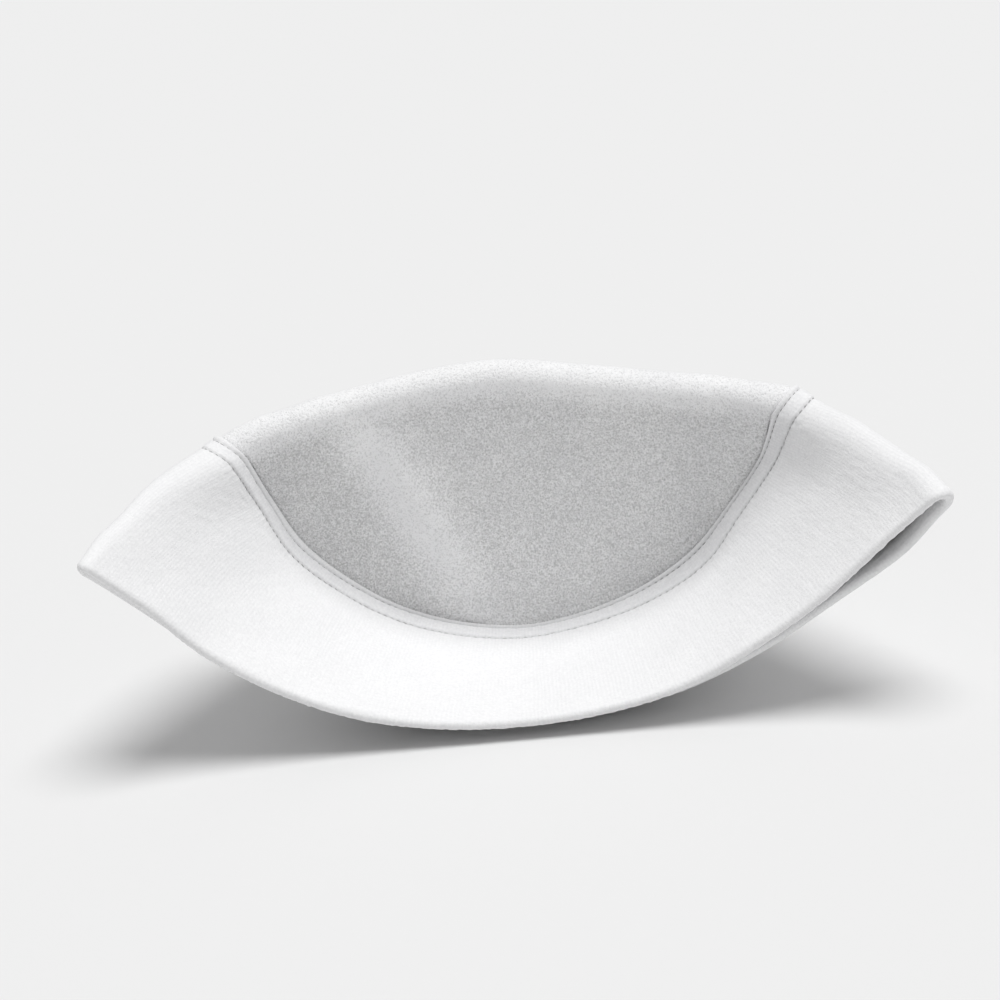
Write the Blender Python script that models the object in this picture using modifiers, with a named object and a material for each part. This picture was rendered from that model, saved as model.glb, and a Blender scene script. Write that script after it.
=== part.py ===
"""Kufi: a white brushed fleece pillbox cap, folded in half through its crown and lying on its side.

The crown is one round disc, folded over along its diameter. The band is one loop of doubled fleece, sewn
round the disc and folded at its right and left ends. The cap lies on the lower half of its band: the upper
half is pushed down into it, and the folded crown stands upright at the back. The mouth faces forward.

Sizes are in millimetres: x to the right, forward out of the mouth (along -Y), up from the table.
A seam angle runs from 0 at the right end of the fold, by 90 at the bottom of the seam, to 180 at the left end.
"""

import math
from typing import NamedTuple

import bmesh
import bpy
import numpy as np

MM = 0.001

CROWN_RADIUS = 92.0
CROWN_WALL = 2.0
BAND_WALL = 2.6
SEAM_GAP = 0.35         # between the crown's edge and the band's
FOLD_SEAM_GAP = 0.3     # what is added to it on the folds at the right and left ends
SEAM_SLANT = 2.5        # how far the seam runs along the ridge as it passes over the fold
SEAM_MITRE = 1.5        # how far it is nearer the middle in front, and farther at the rear
SEAM_BEND = 0.45        # how early the seam turns toward the fold that it runs onto
SPOKE_END = 0.55        # where a line across the crown from the seam meets the fold, as a share of the half length
BOW_RIGHT, BOW_LEFT = 2.6, 3.6   # how far the side folds bow outward between seam and hem
BOW_OUT, BOW_UP = 0.6, 0.8       # the way that they bow
BOW_FALL = 8            # how quickly the bow ends beside a fold, as a power
REAR_BULGE = 3.0        # how far the rear half of the crown swells backward
BULGE_LENGTH = 60.0     # the length of crown strip below which it swells less
CREASE_LENGTH = 40.0    # the length below which a crease is lower
HEM_ROUNDING = 0.9
EDGE_ANGLE = 60.0       # degrees, above which an edge is rounded
ORIGIN_X, ORIGIN_FORWARD = 1.4, 38.7   # the middle of the lying cap

SECTIONS = 30           # steps along each half of the seam
FLAT_STEPS = 6          # steps across each flat half of the crown, inside the turn at the seam
FOLD_STEPS = 6          # steps round a fold
BAND_STEPS = 8          # steps from the turn at the seam to the hem
GAP_FALL = 40           # how quickly the added gap ends beside a fold, as a power
NEAR = 0.04             # a short step, as a share of a line or in radians
SMALL_TURN = 0.5        # a short step along the seam, in degrees
LINE_STEP = 1.0         # the same, where a line's direction is read
RIDGE_STEP = 0.2        # a short step along the ridge, in rows
TINY = 1e-6
JOIN_DISTANCE = 0.01    # points nearer each other than this are one


class RidgeRow(NamedTuple):
    """The axis that the crown folds over, at a distance from the crown's centre."""

    station: float
    x: float
    forward: float
    up: float
    radius: float        # of the fold, to the middle of the cloth
    lean: float          # degrees that the front half leans forward


class LineRow(NamedTuple):
    """A point on the upper half of the seam or the hem, in the middle of the cloth."""

    angle: float
    x: float
    forward: float
    up: float


class NestRow(NamedTuple):
    """How the lower half of the cap lies outside the upper half."""

    angle: float
    seam_drop: float     # outward from the upper seam
    hem_drop: float      # outward from the upper hem
    hem_setback: float   # how far the lower hem stays behind the upper one


class Crease(NamedTuple):
    """A soft fold down the front of the crown."""

    ridge_station: float
    seam_station: float
    height: float
    width: float


RIDGE = (
    RidgeRow(-92, -84.0, 16.1, 77.5, 4.3, 15),
    RidgeRow(-69, -64.6, 12.6, 83.4, 4.3, 12),
    RidgeRow(-46, -42.6, 9.5, 86.9, 4.3, 10),
    RidgeRow(-23, -20.3, 7.9, 89.9, 4.5, 8),
    RidgeRow(0, 2.2, 7.4, 91.0, 4.5, 8),
    RidgeRow(23, 25.0, 8.2, 87.6, 4.5, 9),
    RidgeRow(46, 47.6, 10.6, 84.2, 4.5, 11),
    RidgeRow(69, 70.0, 14.1, 81.0, 4.5, 14),
    RidgeRow(92, 89.2, 18.4, 77.9, 4.5, 17),
)

SEAM = (
    LineRow(15, 80.1, 13.1, 59.8),
    LineRow(30, 70.1, 7.7, 42.7),
    LineRow(45, 58.1, 3.4, 27.0),
    LineRow(60, 41.7, 1.8, 15.3),
    LineRow(75, 22.8, 1.2, 7.8),
    LineRow(90, 2.7, 1.2, 4.7),
    LineRow(105, -17.4, 1.4, 7.8),
    LineRow(120, -36.3, 1.6, 15.4),
    LineRow(135, -52.1, 3.4, 27.5),
    LineRow(150, -65.0, 6.6, 42.4),
    LineRow(165, -73.2, 11.1, 60.3),
)

HEM = (
    LineRow(0, 122.9, 86.3, 66.2),
    LineRow(15, 109.0, 83.6, 54.2),
    LineRow(30, 90.7, 82.1, 38.3),
    LineRow(45, 70.2, 81.0, 24.7),
    LineRow(60, 48.5, 80.3, 13.5),
    LineRow(75, 24.6, 80.0, 7.7),
    LineRow(90, 0.1, 80.0, 5.8),
    LineRow(105, -24.4, 80.1, 7.2),
    LineRow(120, -48.4, 80.3, 12.5),
    LineRow(135, -70.7, 81.0, 22.7),
    LineRow(150, -90.9, 82.1, 36.6),
    LineRow(165, -107.6, 83.5, 53.8),
    LineRow(180, -122.2, 86.1, 67.5),
)

NEST = (
    NestRow(0, 0.0, 7.0, 2.0),
    NestRow(15, 0.6, 8.8, 2.0),
    NestRow(30, 1.8, 5.8, 3.5),
    NestRow(45, 3.2, 5.0, 5.0),
    NestRow(60, 5.0, 4.0, 7.0),
    NestRow(75, 7.0, 3.8, 9.0),
    NestRow(90, 6.0, 5.0, 10.5),
    NestRow(105, 7.0, 3.9, 10.0),
    NestRow(120, 5.0, 4.3, 9.0),
    NestRow(135, 3.2, 4.6, 7.0),
    NestRow(150, 1.8, 3.9, 6.0),
    NestRow(165, 0.6, 4.3, 3.5),
    NestRow(180, 0.0, 4.3, 2.0),
)

# How the cloth rounds the corner at the seam: the distance from the seam, and how far it is drawn inside.
SEAM_ROUNDING = ((0.0, 1.05), (1.2, 0.5), (2.8, 0.13), (4.6, 0.0))

CREASES = (
    Crease(-44, -16, 2.2, 15.0),
    Crease(34, 20, -1.2, 20.0),
)


def spot(x, forward, up):
    """A point in the model's axes."""
    return np.array([x, -forward, up], float)


def unit(vector):
    return vector / np.linalg.norm(vector)


def smooth(rows, place):
    """A smooth curve through evenly spaced rows, at a place counted in rows."""
    last = len(rows) - 1
    i = int(min(max(math.floor(place), 0), last - 1))
    f = place - i
    p1, p2 = rows[i], rows[i + 1]
    p0 = rows[i - 1] if i > 0 else 2 * p1 - p2
    p3 = rows[i + 2] if i + 2 <= last else 2 * p2 - p1
    return p1 + 0.5 * f * (p2 - p0 + f * (2 * p0 - 5 * p1 + 4 * p2 - p3 + f * (3 * (p1 - p2) + p3 - p0)))


def even_place(rows, value):
    """The place of a value in the first column of evenly spaced rows."""
    return (value - rows[0][0]) / (rows[1][0] - rows[0][0])


RIDGE_POINTS = np.array([spot(row.x, row.forward, row.up) for row in RIDGE])
RIDGE_SHAPE = np.array([(row.radius, row.lean) for row in RIDGE], float)
HEM_POINTS = np.array([spot(row.x, row.forward, row.up) for row in HEM])
NEST_VALUES = np.array([row[1:] for row in NEST], float)


def ridge_frame(station):
    """The fold's axis point, then, as long as its radius, the way up the front cloth and out of its front face."""
    place = even_place(RIDGE, station)
    axis = smooth(RIDGE_POINTS, place)
    along = unit(smooth(RIDGE_POINTS, place + RIDGE_STEP) - smooth(RIDGE_POINTS, place - RIDGE_STEP))
    radius, lean = smooth(RIDGE_SHAPE, place)
    rise = spot(0, math.sin(math.radians(lean)), math.cos(math.radians(lean)))
    rise = unit(rise - along * rise.dot(along))
    return axis, radius * rise, radius * np.cross(along, rise)


def fold_end(station):
    """Where the front half of the crown meets the fold."""
    axis, _, face = ridge_frame(station)
    return axis + face


def fold_point(station, turn):
    """The middle of the cloth on the ridge fold, at a turn in radians from its front."""
    axis, rise, face = ridge_frame(station)
    return axis + math.cos(turn) * face + math.sin(turn) * rise


def half_length(side):
    """From the crown's centre to the end of its front half, side 1, or its rear half, side -1, at the fold."""
    return CROWN_RADIUS - SEAM_SLANT - side * SEAM_MITRE


def station_at(angle, side):
    """The station of the strip of crown that ends at a seam angle."""
    return half_length(side) * math.cos(math.radians(angle))


def end_fold_point(side, share, turn):
    """The cloth on the ridge fold between the seam, share 0, and the outermost spoke's end, share 1."""
    front, rear, top = (
        reach * (1 - share + SPOKE_END * share) for reach in (half_length(1), half_length(-1), CROWN_RADIUS)
    )
    middle = (front + rear) / 2
    return fold_point(side * (middle + (front - middle) * math.cos(turn) + (top - middle) * math.sin(turn)), turn)


def beyond_seam(side, end, before_end):
    """A point past an end of the upper seam, which turns the seam there the way that it runs over the fold."""
    over_fold = unit(end_fold_point(side, 0.0, NEAR) - end)
    return before_end + 2 * SEAM_BEND * np.linalg.norm(end - before_end) * over_fold


def seam_points():
    """The upper seam's points, with one more past each end."""
    points = [spot(row.x, row.forward, row.up) for row in SEAM]
    right, left = fold_end(station_at(0, 1)), fold_end(station_at(180, 1))
    return np.array([beyond_seam(1, right, points[0]), right, *points, left, beyond_seam(-1, left, points[-1])])


SEAM_POINTS = seam_points()
SEAM_STEP = 15.0


def front_seam(angle):
    return smooth(SEAM_POINTS, angle / SEAM_STEP + 1)


def front_hem(angle):
    return smooth(HEM_POINTS, angle / SEAM_STEP)


def line_direction(line, angle):
    return unit(line(min(angle + LINE_STEP, 180.0)) - line(max(angle - LINE_STEP, 0.0)))


def nest(angle):
    return smooth(NEST_VALUES, even_place(NEST, angle))


def on_table(point):
    """Cloth that would sink into the table lies flat on it."""
    flat = point.copy()
    flat[2] = max(flat[2], BAND_WALL / 2)
    return flat


def rear_seam(angle):
    """The seam of the lower half: behind the front one by the fold, and outside it by the nesting."""
    _, _, face = ridge_frame(station_at(angle, 0))
    outward = unit(np.cross(face, line_direction(front_seam, angle)))
    over_fold = fold_point(station_at(angle, -1), math.pi) - fold_point(station_at(angle, 1), 0.0)
    return on_table(front_seam(angle) + over_fold + nest(angle)[0] * outward)


def rear_hem(angle):
    ruling = unit(front_hem(angle) - front_seam(angle))
    outward = unit(np.cross(line_direction(front_hem, angle), ruling))
    _, drop, setback = nest(angle)
    return front_hem(angle) - outward * drop - ruling * setback


def crease_height(station, share):
    """The creases' relief at a station of the crown, at a share of the way from ridge to seam."""
    total = 0.0
    for crease in CREASES:
        middle = crease.ridge_station + (crease.seam_station - crease.ridge_station) * share
        total += crease.height * math.exp(-(((station - middle) / crease.width) ** 2))
    return total * math.sin(math.pi * share) ** 2


def strip_point(angle, side, share):
    """The middle of the crown's cloth on a strip square to the fold: share from the fold, 0, to the seam, 1."""
    station = station_at(angle, side)
    axis, rise, face = ridge_frame(station)
    top = axis + side * face
    seam = front_seam(angle) if side > 0 else rear_seam(angle)
    chord = top - seam
    length = np.linalg.norm(chord)
    f = 1.0 - share
    bend = f * f * (f - 1.0)
    point = seam + chord * f + (length * unit(rise) - chord) * bend
    if side > 0:
        return point + unit(face) * crease_height(station, share) * min(1.0, length / CREASE_LENGTH)
    swell = REAR_BULGE * math.sin(math.pi * share) * min(1.0, length / BULGE_LENGTH)
    return point - unit(face) * swell


def spoke_point(angle, side, share):
    """The middle of the crown's cloth on a line from the seam, share 0, slanting inward to the fold, share 1."""
    radius = half_length(side)
    station = station_at(angle, side) * (1 - share + SPOKE_END * share)
    depth = radius * math.sin(math.radians(angle)) * (1 - share)
    strip = math.acos(station / radius)
    length = radius * math.sin(strip)
    return strip_point(math.degrees(strip), side, depth / length if length > TINY else 1.0)


def loop_places():
    """The loop of the seam as (kind, value): front half, left fold, rear half, right fold."""
    angles = [180.0 * i / SECTIONS for i in range(SECTIONS + 1)]
    turns = [math.pi * i / FOLD_STEPS for i in range(1, FOLD_STEPS)]
    places = [("front", angle) for angle in angles]
    places += [("left", turn) for turn in turns]
    places += [("rear", angle) for angle in reversed(angles)]
    places += [("right", math.pi - turn) for turn in turns]
    return places


def side_bow(angle, share):
    """The side folds, and the cloth beside them, bow outward and upward between seam and hem."""
    nearness = math.cos(math.radians(angle))
    most = BOW_RIGHT if nearness > 0 else BOW_LEFT
    amount = most * abs(nearness) ** BOW_FALL * math.sin(math.pi * share) ** 2
    return amount * spot(math.copysign(BOW_OUT, nearness), 0.0, BOW_UP)


def band_point(kind, value, share):
    """The middle of the band's cloth at a place of the loop, at a share of the way from seam to hem."""
    if kind == "front":
        return front_seam(value) + (front_hem(value) - front_seam(value)) * share + side_bow(value, share)
    if kind == "rear":
        low = rear_seam(value) + (rear_hem(value) - rear_seam(value)) * share
        return on_table(low + side_bow(value, share))
    angle, side = (0.0, 1) if kind == "right" else (180.0, -1)
    front, rear = band_point("front", angle, share), band_point("rear", angle, share)
    at_seam = fold_point(side * CROWN_RADIUS, math.pi / 2) - (front_seam(angle) + rear_seam(angle)) / 2
    hem_radius = np.linalg.norm(front_hem(angle) - rear_hem(angle)) / 2
    at_hem = -side * line_direction(front_hem, angle) * hem_radius
    way = at_seam * (1 - share) + at_hem * share
    return (front + rear) / 2 + (front - rear) / 2 * math.cos(value) + way * math.sin(value)


def inward_step(angle):
    """A short step along the seam, away from the nearer fold."""
    return SMALL_TURN if angle < 90 else -SMALL_TURN


def across(vector, line):
    """The part of a vector square to a line, as a share of the vector's length."""
    vector, line = unit(vector), unit(line)
    return vector - line * vector.dot(line)


def ways_at_seam(kind, value):
    """The ways from a place of the seam into the crown's cloth and into the band's, square to it, and the gap."""
    seam, gap = band_point(kind, value, 0.0), SEAM_GAP + FOLD_SEAM_GAP
    if kind in ("left", "right"):
        side = 1 if kind == "right" else -1
        line = band_point(kind, value + NEAR, 0.0) - band_point(kind, value - NEAR, 0.0)
        into_crown = end_fold_point(side, 3 * NEAR, value) - seam
    else:
        gap = SEAM_GAP + FOLD_SEAM_GAP * abs(math.cos(math.radians(value))) ** GAP_FALL
        line = band_point(kind, value + inward_step(value), 0.0) - seam
        into_crown = spoke_point(value, 1 if kind == "front" else -1, NEAR) - seam
    return unit(across(into_crown, line)), unit(across(band_point(kind, value, NEAR) - seam, line)), gap


def turned(point, distance, ways, side):
    """Rounds the corner at the seam, and keeps the edge of the crown, side 1, clear of the band's, side -1."""
    into_crown, into_band, gap = ways
    distances, draws = zip(*SEAM_ROUNDING)
    point = point + (into_crown + into_band) * np.interp(distance, distances, draws)
    if distance < TINY:
        point = point + side * unit(into_crown - into_band) * gap / 2
    return point


def corner_shares(length, steps, squareness=1.0):
    """Shares of a length of cloth from the seam: at the rounded corner's own distances, then in even steps."""
    corner = [distance / squareness / length for distance, _ in SEAM_ROUNDING]
    return corner + list(np.linspace(corner[-1], 1.0, steps + 1)[1:])


def crown_shares(angle, side):
    """The places of the mesh points along a spoke, and their distances from the seam."""
    seam = spoke_point(angle, side, 0.0)
    way = spoke_point(angle, side, NEAR) - seam
    length = np.linalg.norm(way) / NEAR
    squareness = np.linalg.norm(across(way, spoke_point(angle + inward_step(angle), side, 0.0) - seam))
    shares = corner_shares(length, FLAT_STEPS, squareness)
    return shares, [share * length * squareness for share in shares]


def crown_half(side):
    """A flat half of the crown, as spokes from the seam to the fold."""
    kind = "front" if side > 0 else "rear"
    rows = []
    for i in range(SECTIONS + 1):
        angle = 180.0 * i / SECTIONS
        ways = ways_at_seam(kind, angle)
        shares, distances = crown_shares(angle, side)
        rows.append([turned(spoke_point(angle, side, q), d, ways, 1) for q, d in zip(shares, distances)])
    return rows


def crown_fold():
    """The cloth over the ridge, as arcs from front to rear, from the right end to the left."""
    turns = [math.pi * k / FOLD_STEPS for k in range(FOLD_STEPS + 1)]
    front, rear = crown_half(1), crown_half(-1)
    ends = {}
    for side, kind, i in ((1, "right", 0), (-1, "left", SECTIONS)):
        shares, distances = crown_shares(180.0 * i / SECTIONS, 1)
        arcs = []
        for j, (share, distance) in enumerate(zip(shares[:-1], distances)):
            over = [turned(end_fold_point(side, share, t), distance, ways_at_seam(kind, t), 1) for t in turns[1:-1]]
            arcs.append([front[i][j]] + over + [rear[i][j]])
        ends[side] = arcs
    middle = []
    for i in range(SECTIONS + 1):
        angle = 180.0 * i / SECTIONS
        over = [fold_point(SPOKE_END * station_at(angle, math.cos(turn)), turn) for turn in turns[1:-1]]
        middle.append([front[i][-1]] + over + [rear[i][-1]])
    return ends[1] + middle + ends[-1][::-1]


def band_rows():
    """The band's cloth as loops from the seam to the hem."""
    columns = []
    for kind, value in loop_places():
        ways = ways_at_seam(kind, value)
        length = np.linalg.norm(band_point(kind, value, 1.0) - band_point(kind, value, 0.0))
        shares = corner_shares(length, BAND_STEPS)
        columns.append([turned(band_point(kind, value, q), q * length, ways, -1) for q in shares])
    return [list(row) for row in zip(*columns)]


def sheet_mesh(name, grids, closed=False):
    """An open sheet through grids of points, joined where they meet. A closed one joins each row's end to its start."""
    shape = bmesh.new()
    shift = spot(ORIGIN_X, ORIGIN_FORWARD, 0)
    for rows in grids:
        grid = [[shape.verts.new((point - shift) * MM) for point in row] for row in rows]
        columns = len(rows[0])
        for lower, upper in zip(grid, grid[1:]):
            for k in range(columns if closed else columns - 1):
                n = (k + 1) % columns
                shape.faces.new((lower[k], lower[n], upper[n], upper[k]))
    bmesh.ops.remove_doubles(shape, verts=shape.verts, dist=JOIN_DISTANCE * MM)
    bmesh.ops.recalc_face_normals(shape, faces=shape.faces)
    mesh = bpy.data.meshes.new(name)
    shape.to_mesh(mesh)
    shape.free()
    mesh.shade_smooth()
    return mesh


def fleece(name, colour, roughness):
    material = bpy.data.materials.new(name)
    material.use_nodes = True
    shader = material.node_tree.nodes["Principled BSDF"]
    shader.inputs["Base Color"].default_value = (*colour, 1.0)
    shader.inputs["Roughness"].default_value = roughness
    shader.inputs["Metallic"].default_value = 0.0
    return material


def cloth_object(name, mesh, wall, material, parent, collection):
    """Gives a sheet its thickness, half to each side."""
    piece = bpy.data.objects.new(name, mesh)
    collection.objects.link(piece)
    piece.parent = parent
    mesh.materials.append(material)
    solid = piece.modifiers.new("Cloth", "SOLIDIFY")
    solid.thickness = wall * MM
    solid.offset = 0.0
    return piece


def round_edges(piece, width):
    bevel = piece.modifiers.new("Rounded edge", "BEVEL")
    bevel.width = width * MM
    bevel.segments = 1
    bevel.limit_method = "ANGLE"
    bevel.angle_limit = math.radians(EDGE_ANGLE)


def clear_scene():
    for item in list(bpy.data.objects):
        bpy.data.objects.remove(item)


def main():
    clear_scene()
    collection = bpy.data.collections.new("kufi")
    bpy.context.scene.collection.children.link(collection)
    cap = bpy.data.objects.new("kufi", None)
    collection.objects.link(cap)
    crown_cloth = fleece("crown fleece", (0.62, 0.62, 0.63), 0.95)
    band_cloth = fleece("band fleece", (0.80, 0.80, 0.82), 0.92)
    crown = sheet_mesh("crown", [crown_half(1), crown_fold(), crown_half(-1)])
    band = sheet_mesh("band", [band_rows()], closed=True)
    cloth_object("crown", crown, CROWN_WALL, crown_cloth, cap, collection)
    band_piece = cloth_object("band", band, BAND_WALL, band_cloth, cap, collection)
    round_edges(band_piece, HEM_ROUNDING)


main()
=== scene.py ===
"""Kufi: the visual model of a white brushed fleece cap, folded in half and lying on one half of its band.

The crown is one round disc of brushed fleece, folded over along its diameter. The band is one loop of
doubled fleece, sewn round the disc, folded at its right and left ends, and topstitched twice beside the
seam. The upper half of the band lies in the lower half, and the mouth faces forward.

Construction is in millimetres: x to the right, forward out of the mouth (along -Y), up from the table. A
seam angle runs from 0 at the right end of the ridge, by 90 at the bottom of the seam, to 180 at its left
end. Meshes are in metres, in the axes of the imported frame.
"""

import logging
import math
from collections.abc import Callable
from dataclasses import dataclass, field
from enum import Enum
from typing import NamedTuple

import bmesh
import bpy
import numpy as np
from mathutils import Matrix, Vector

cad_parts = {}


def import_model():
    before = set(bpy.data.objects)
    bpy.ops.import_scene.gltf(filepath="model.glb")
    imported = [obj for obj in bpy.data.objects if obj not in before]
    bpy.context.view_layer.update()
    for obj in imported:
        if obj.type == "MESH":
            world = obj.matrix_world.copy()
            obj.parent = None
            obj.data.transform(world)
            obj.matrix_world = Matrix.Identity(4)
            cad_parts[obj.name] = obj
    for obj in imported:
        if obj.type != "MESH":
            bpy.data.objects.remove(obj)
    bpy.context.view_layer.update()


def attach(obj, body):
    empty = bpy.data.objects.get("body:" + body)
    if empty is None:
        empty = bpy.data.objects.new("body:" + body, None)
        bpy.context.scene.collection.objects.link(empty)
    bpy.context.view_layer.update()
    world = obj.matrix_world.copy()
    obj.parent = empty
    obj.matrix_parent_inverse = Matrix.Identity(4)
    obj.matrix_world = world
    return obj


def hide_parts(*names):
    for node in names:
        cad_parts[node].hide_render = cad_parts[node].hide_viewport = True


MM = 0.001
TINY = 1e-6
JOIN_DISTANCE = 0.01 * MM
Array = np.ndarray
Colour = tuple[float, float, float]
Span = tuple[float, float]
Socket = bpy.types.NodeSocket
Value = Socket | float

log = logging.getLogger("kufi")


class Side(Enum):
    """A half of the folded cap: the front one lies on top, and the rear one behind and under it."""

    FRONT = 1
    REAR = -1


class Stretch(Enum):
    """The stretches of the loop of the seam, in the order that the loop runs through them."""

    FRONT = "front"
    LEFT_FOLD = "left"
    REAR = "rear"
    RIGHT_FOLD = "right"


class RidgeRow(NamedTuple):
    """The axis that the crown folds over, at one station.

    Attributes:
        station: The distance from the crown's centre along the fold, to the right.
        x: The axis's place to the right.
        forward: Its place forward.
        up: Its height.
        radius: The fold's, to the middle of the cloth.
        lean: How far the front cloth leans back there, in degrees.
    """

    station: float
    x: float
    forward: float
    up: float
    radius: float
    lean: float


class LineRow(NamedTuple):
    """A point on the upper half of the seam or the hem, in the middle of the cloth.

    Attributes:
        angle: The seam angle.
        x: The place to the right.
        forward: The place forward.
        up: The height.
    """

    angle: float
    x: float
    forward: float
    up: float


class NestRow(NamedTuple):
    """How the lower half of the band lies at a seam angle.

    Attributes:
        angle: The seam angle.
        seam_drop: How far its seam lies outside the upper half's.
        hem_drop: How far its hem lies below the upper half's.
        hem_setback: How far its hem lies behind it.
    """

    angle: float
    seam_drop: float
    hem_drop: float
    hem_setback: float


class StripRow(NamedTuple):
    """How the stitched strip lies at a seam angle.

    Attributes:
        angle: The seam angle.
        width: The strip's width, as a share of the usual one.
        dip: How far the cloth past the strip dips.
        first: How much farther from the seam the first row of stitches lies.
    """

    angle: float
    width: float
    dip: float
    first: float


class Crease(NamedTuple):
    """A soft fold or dent down the front of the crown.

    Attributes:
        ridge_station: Where it starts at the ridge, from the crown's centre.
        seam_station: Where it ends at the seam.
        height: How far it stands out, below 0 for a dent.
        width: How far it reaches on each side.
    """

    ridge_station: float
    seam_station: float
    height: float
    width: float


RIDGE = (
    RidgeRow(-92, -84.0, 16.1, 77.5, 4.3, 15),
    RidgeRow(-69, -64.6, 12.6, 83.4, 4.3, 12),
    RidgeRow(-46, -42.6, 9.5, 86.9, 4.3, 10),
    RidgeRow(-23, -20.3, 7.9, 89.9, 4.5, 8),
    RidgeRow(0, 2.2, 7.4, 91.0, 4.5, 8),
    RidgeRow(23, 25.0, 8.2, 87.6, 4.5, 9),
    RidgeRow(46, 47.6, 10.6, 84.2, 4.5, 11),
    RidgeRow(69, 70.0, 14.1, 81.0, 4.5, 14),
    RidgeRow(92, 89.2, 18.4, 77.9, 4.5, 17),
)

SEAM = (
    LineRow(15, 80.1, 13.1, 59.8),
    LineRow(30, 70.1, 7.7, 42.7),
    LineRow(45, 58.1, 3.4, 27.0),
    LineRow(60, 41.7, 1.8, 15.3),
    LineRow(75, 22.8, 1.2, 7.8),
    LineRow(90, 2.7, 1.2, 4.7),
    LineRow(105, -17.4, 1.4, 7.8),
    LineRow(120, -36.3, 1.6, 15.4),
    LineRow(135, -52.1, 3.4, 27.5),
    LineRow(150, -65.0, 6.6, 42.4),
    LineRow(165, -73.2, 11.1, 60.3),
)

HEM = (
    LineRow(0, 122.9, 86.3, 66.2),
    LineRow(15, 109.0, 83.6, 54.2),
    LineRow(30, 90.7, 82.1, 38.3),
    LineRow(45, 70.2, 81.0, 24.7),
    LineRow(60, 48.5, 80.3, 13.5),
    LineRow(75, 24.6, 80.0, 7.7),
    LineRow(90, 0.1, 80.0, 5.8),
    LineRow(105, -24.4, 80.1, 7.2),
    LineRow(120, -48.4, 80.3, 12.5),
    LineRow(135, -70.7, 81.0, 22.7),
    LineRow(150, -90.9, 82.1, 36.6),
    LineRow(165, -107.6, 83.5, 53.8),
    LineRow(180, -122.2, 86.1, 67.5),
)

NEST = (
    NestRow(0, 0.0, 8.6, 2.0),
    NestRow(15, 0.6, 9.4, 2.0),
    NestRow(30, 1.8, 5.8, 3.5),
    NestRow(45, 3.2, 5.0, 5.0),
    NestRow(60, 5.0, 4.0, 7.0),
    NestRow(75, 7.0, 3.8, 9.0),
    NestRow(90, 6.0, 5.0, 10.5),
    NestRow(105, 7.0, 3.9, 10.0),
    NestRow(120, 5.0, 4.3, 9.0),
    NestRow(135, 3.2, 4.6, 7.0),
    NestRow(150, 1.8, 3.9, 6.0),
    NestRow(165, 0.6, 4.3, 3.5),
    NestRow(180, 0.0, 4.3, 2.0),
)

STRIP = (
    StripRow(0, 1.0, 0.4, 0.2),
    StripRow(15, 0.95, 0.2, 0.2),
    StripRow(30, 1.0, 0.3, 0.0),
    StripRow(45, 1.18, 1.6, 0.0),
    StripRow(60, 1.12, 1.2, 0.0),
    StripRow(75, 1.0, 0.8, 0.0),
    StripRow(90, 1.05, 0.3, 0.0),
    StripRow(105, 1.05, 0.4, 0.0),
    StripRow(120, 1.0, 0.8, 0.2),
    StripRow(135, 1.05, 0.6, 0.8),
    StripRow(150, 1.1, 0.1, 1.5),
    StripRow(165, 1.0, -0.9, 1.6),
    StripRow(180, 0.9, -1.0, 0.8),
)

CREASES = (
    Crease(-46, -14, 3.4, 9.0),
    Crease(34, 20, -1.6, 18.0),
)


def spot(x: float, forward: float, up: float) -> Array:
    """Returns a point or a way in the model's axes."""
    return np.array([x, -forward, up], float)


def points_of(rows: tuple[RidgeRow | LineRow, ...]) -> Array:
    """Returns the points that a table's rows give."""
    return np.array([spot(row.x, row.forward, row.up) for row in rows])


def values_of(rows: tuple[NestRow | StripRow, ...]) -> Array:
    """Returns the values that a table's rows give after the seam angle."""
    return np.array([row[1:] for row in rows], float)


def dot(first: Array, second: Array) -> Array:
    """Returns the dot product over the last axis, which is kept."""
    return (first * second).sum(-1, keepdims=True)


def length_of(vectors: Array) -> Array:
    """Returns the length over the last axis, which is kept."""
    return np.linalg.norm(vectors, axis=-1, keepdims=True)


def unit(vectors: Array) -> Array:
    """Returns the vectors at length 1."""
    return vectors / length_of(vectors)


def across(vectors: Array, lines: Array) -> Array:
    """Returns the part of each vector that is square to its line, as a share of the vector's length."""
    vectors, lines = unit(vectors), unit(lines)
    return vectors - lines * dot(vectors, lines)


def smooth(rows: Array, place: Array) -> Array:
    """Reads a smooth curve through evenly spaced rows.

    Args:
        rows: The rows that the curve runs through, one value or point each.
        place: Where to read it, counted in rows.

    Returns:
        The values there, with the shape of place and a row's own.
    """
    last = len(rows) - 1
    place = np.asarray(place, float)
    i = np.clip(np.floor(place).astype(int), 0, last - 1)
    f = (place - i)[..., None]
    first, final = (i == 0)[..., None], (i == last - 1)[..., None]
    p1, p2 = rows[i], rows[i + 1]
    p0 = np.where(first, 2 * p1 - p2, rows[np.maximum(i - 1, 0)])
    p3 = np.where(final, 2 * p2 - p1, rows[np.minimum(i + 2, last)])
    return p1 + 0.5 * f * (p2 - p0 + f * (2 * p0 - 5 * p1 + 4 * p2 - p3 + f * (3 * (p1 - p2) + p3 - p0)))


def bell(distance: Array, width: float) -> Array:
    """Returns a rounded bump, 1 at distance 0."""
    return np.exp(-((distance / width) ** 2))


def ramp(value: Array, start: float, end: float) -> Array:
    """Returns 0 before start, 1 after end, and a smooth rise between them."""
    t = np.clip((value - start) / (end - start), 0.0, 1.0)
    return t * t * (3 - 2 * t)


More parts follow.
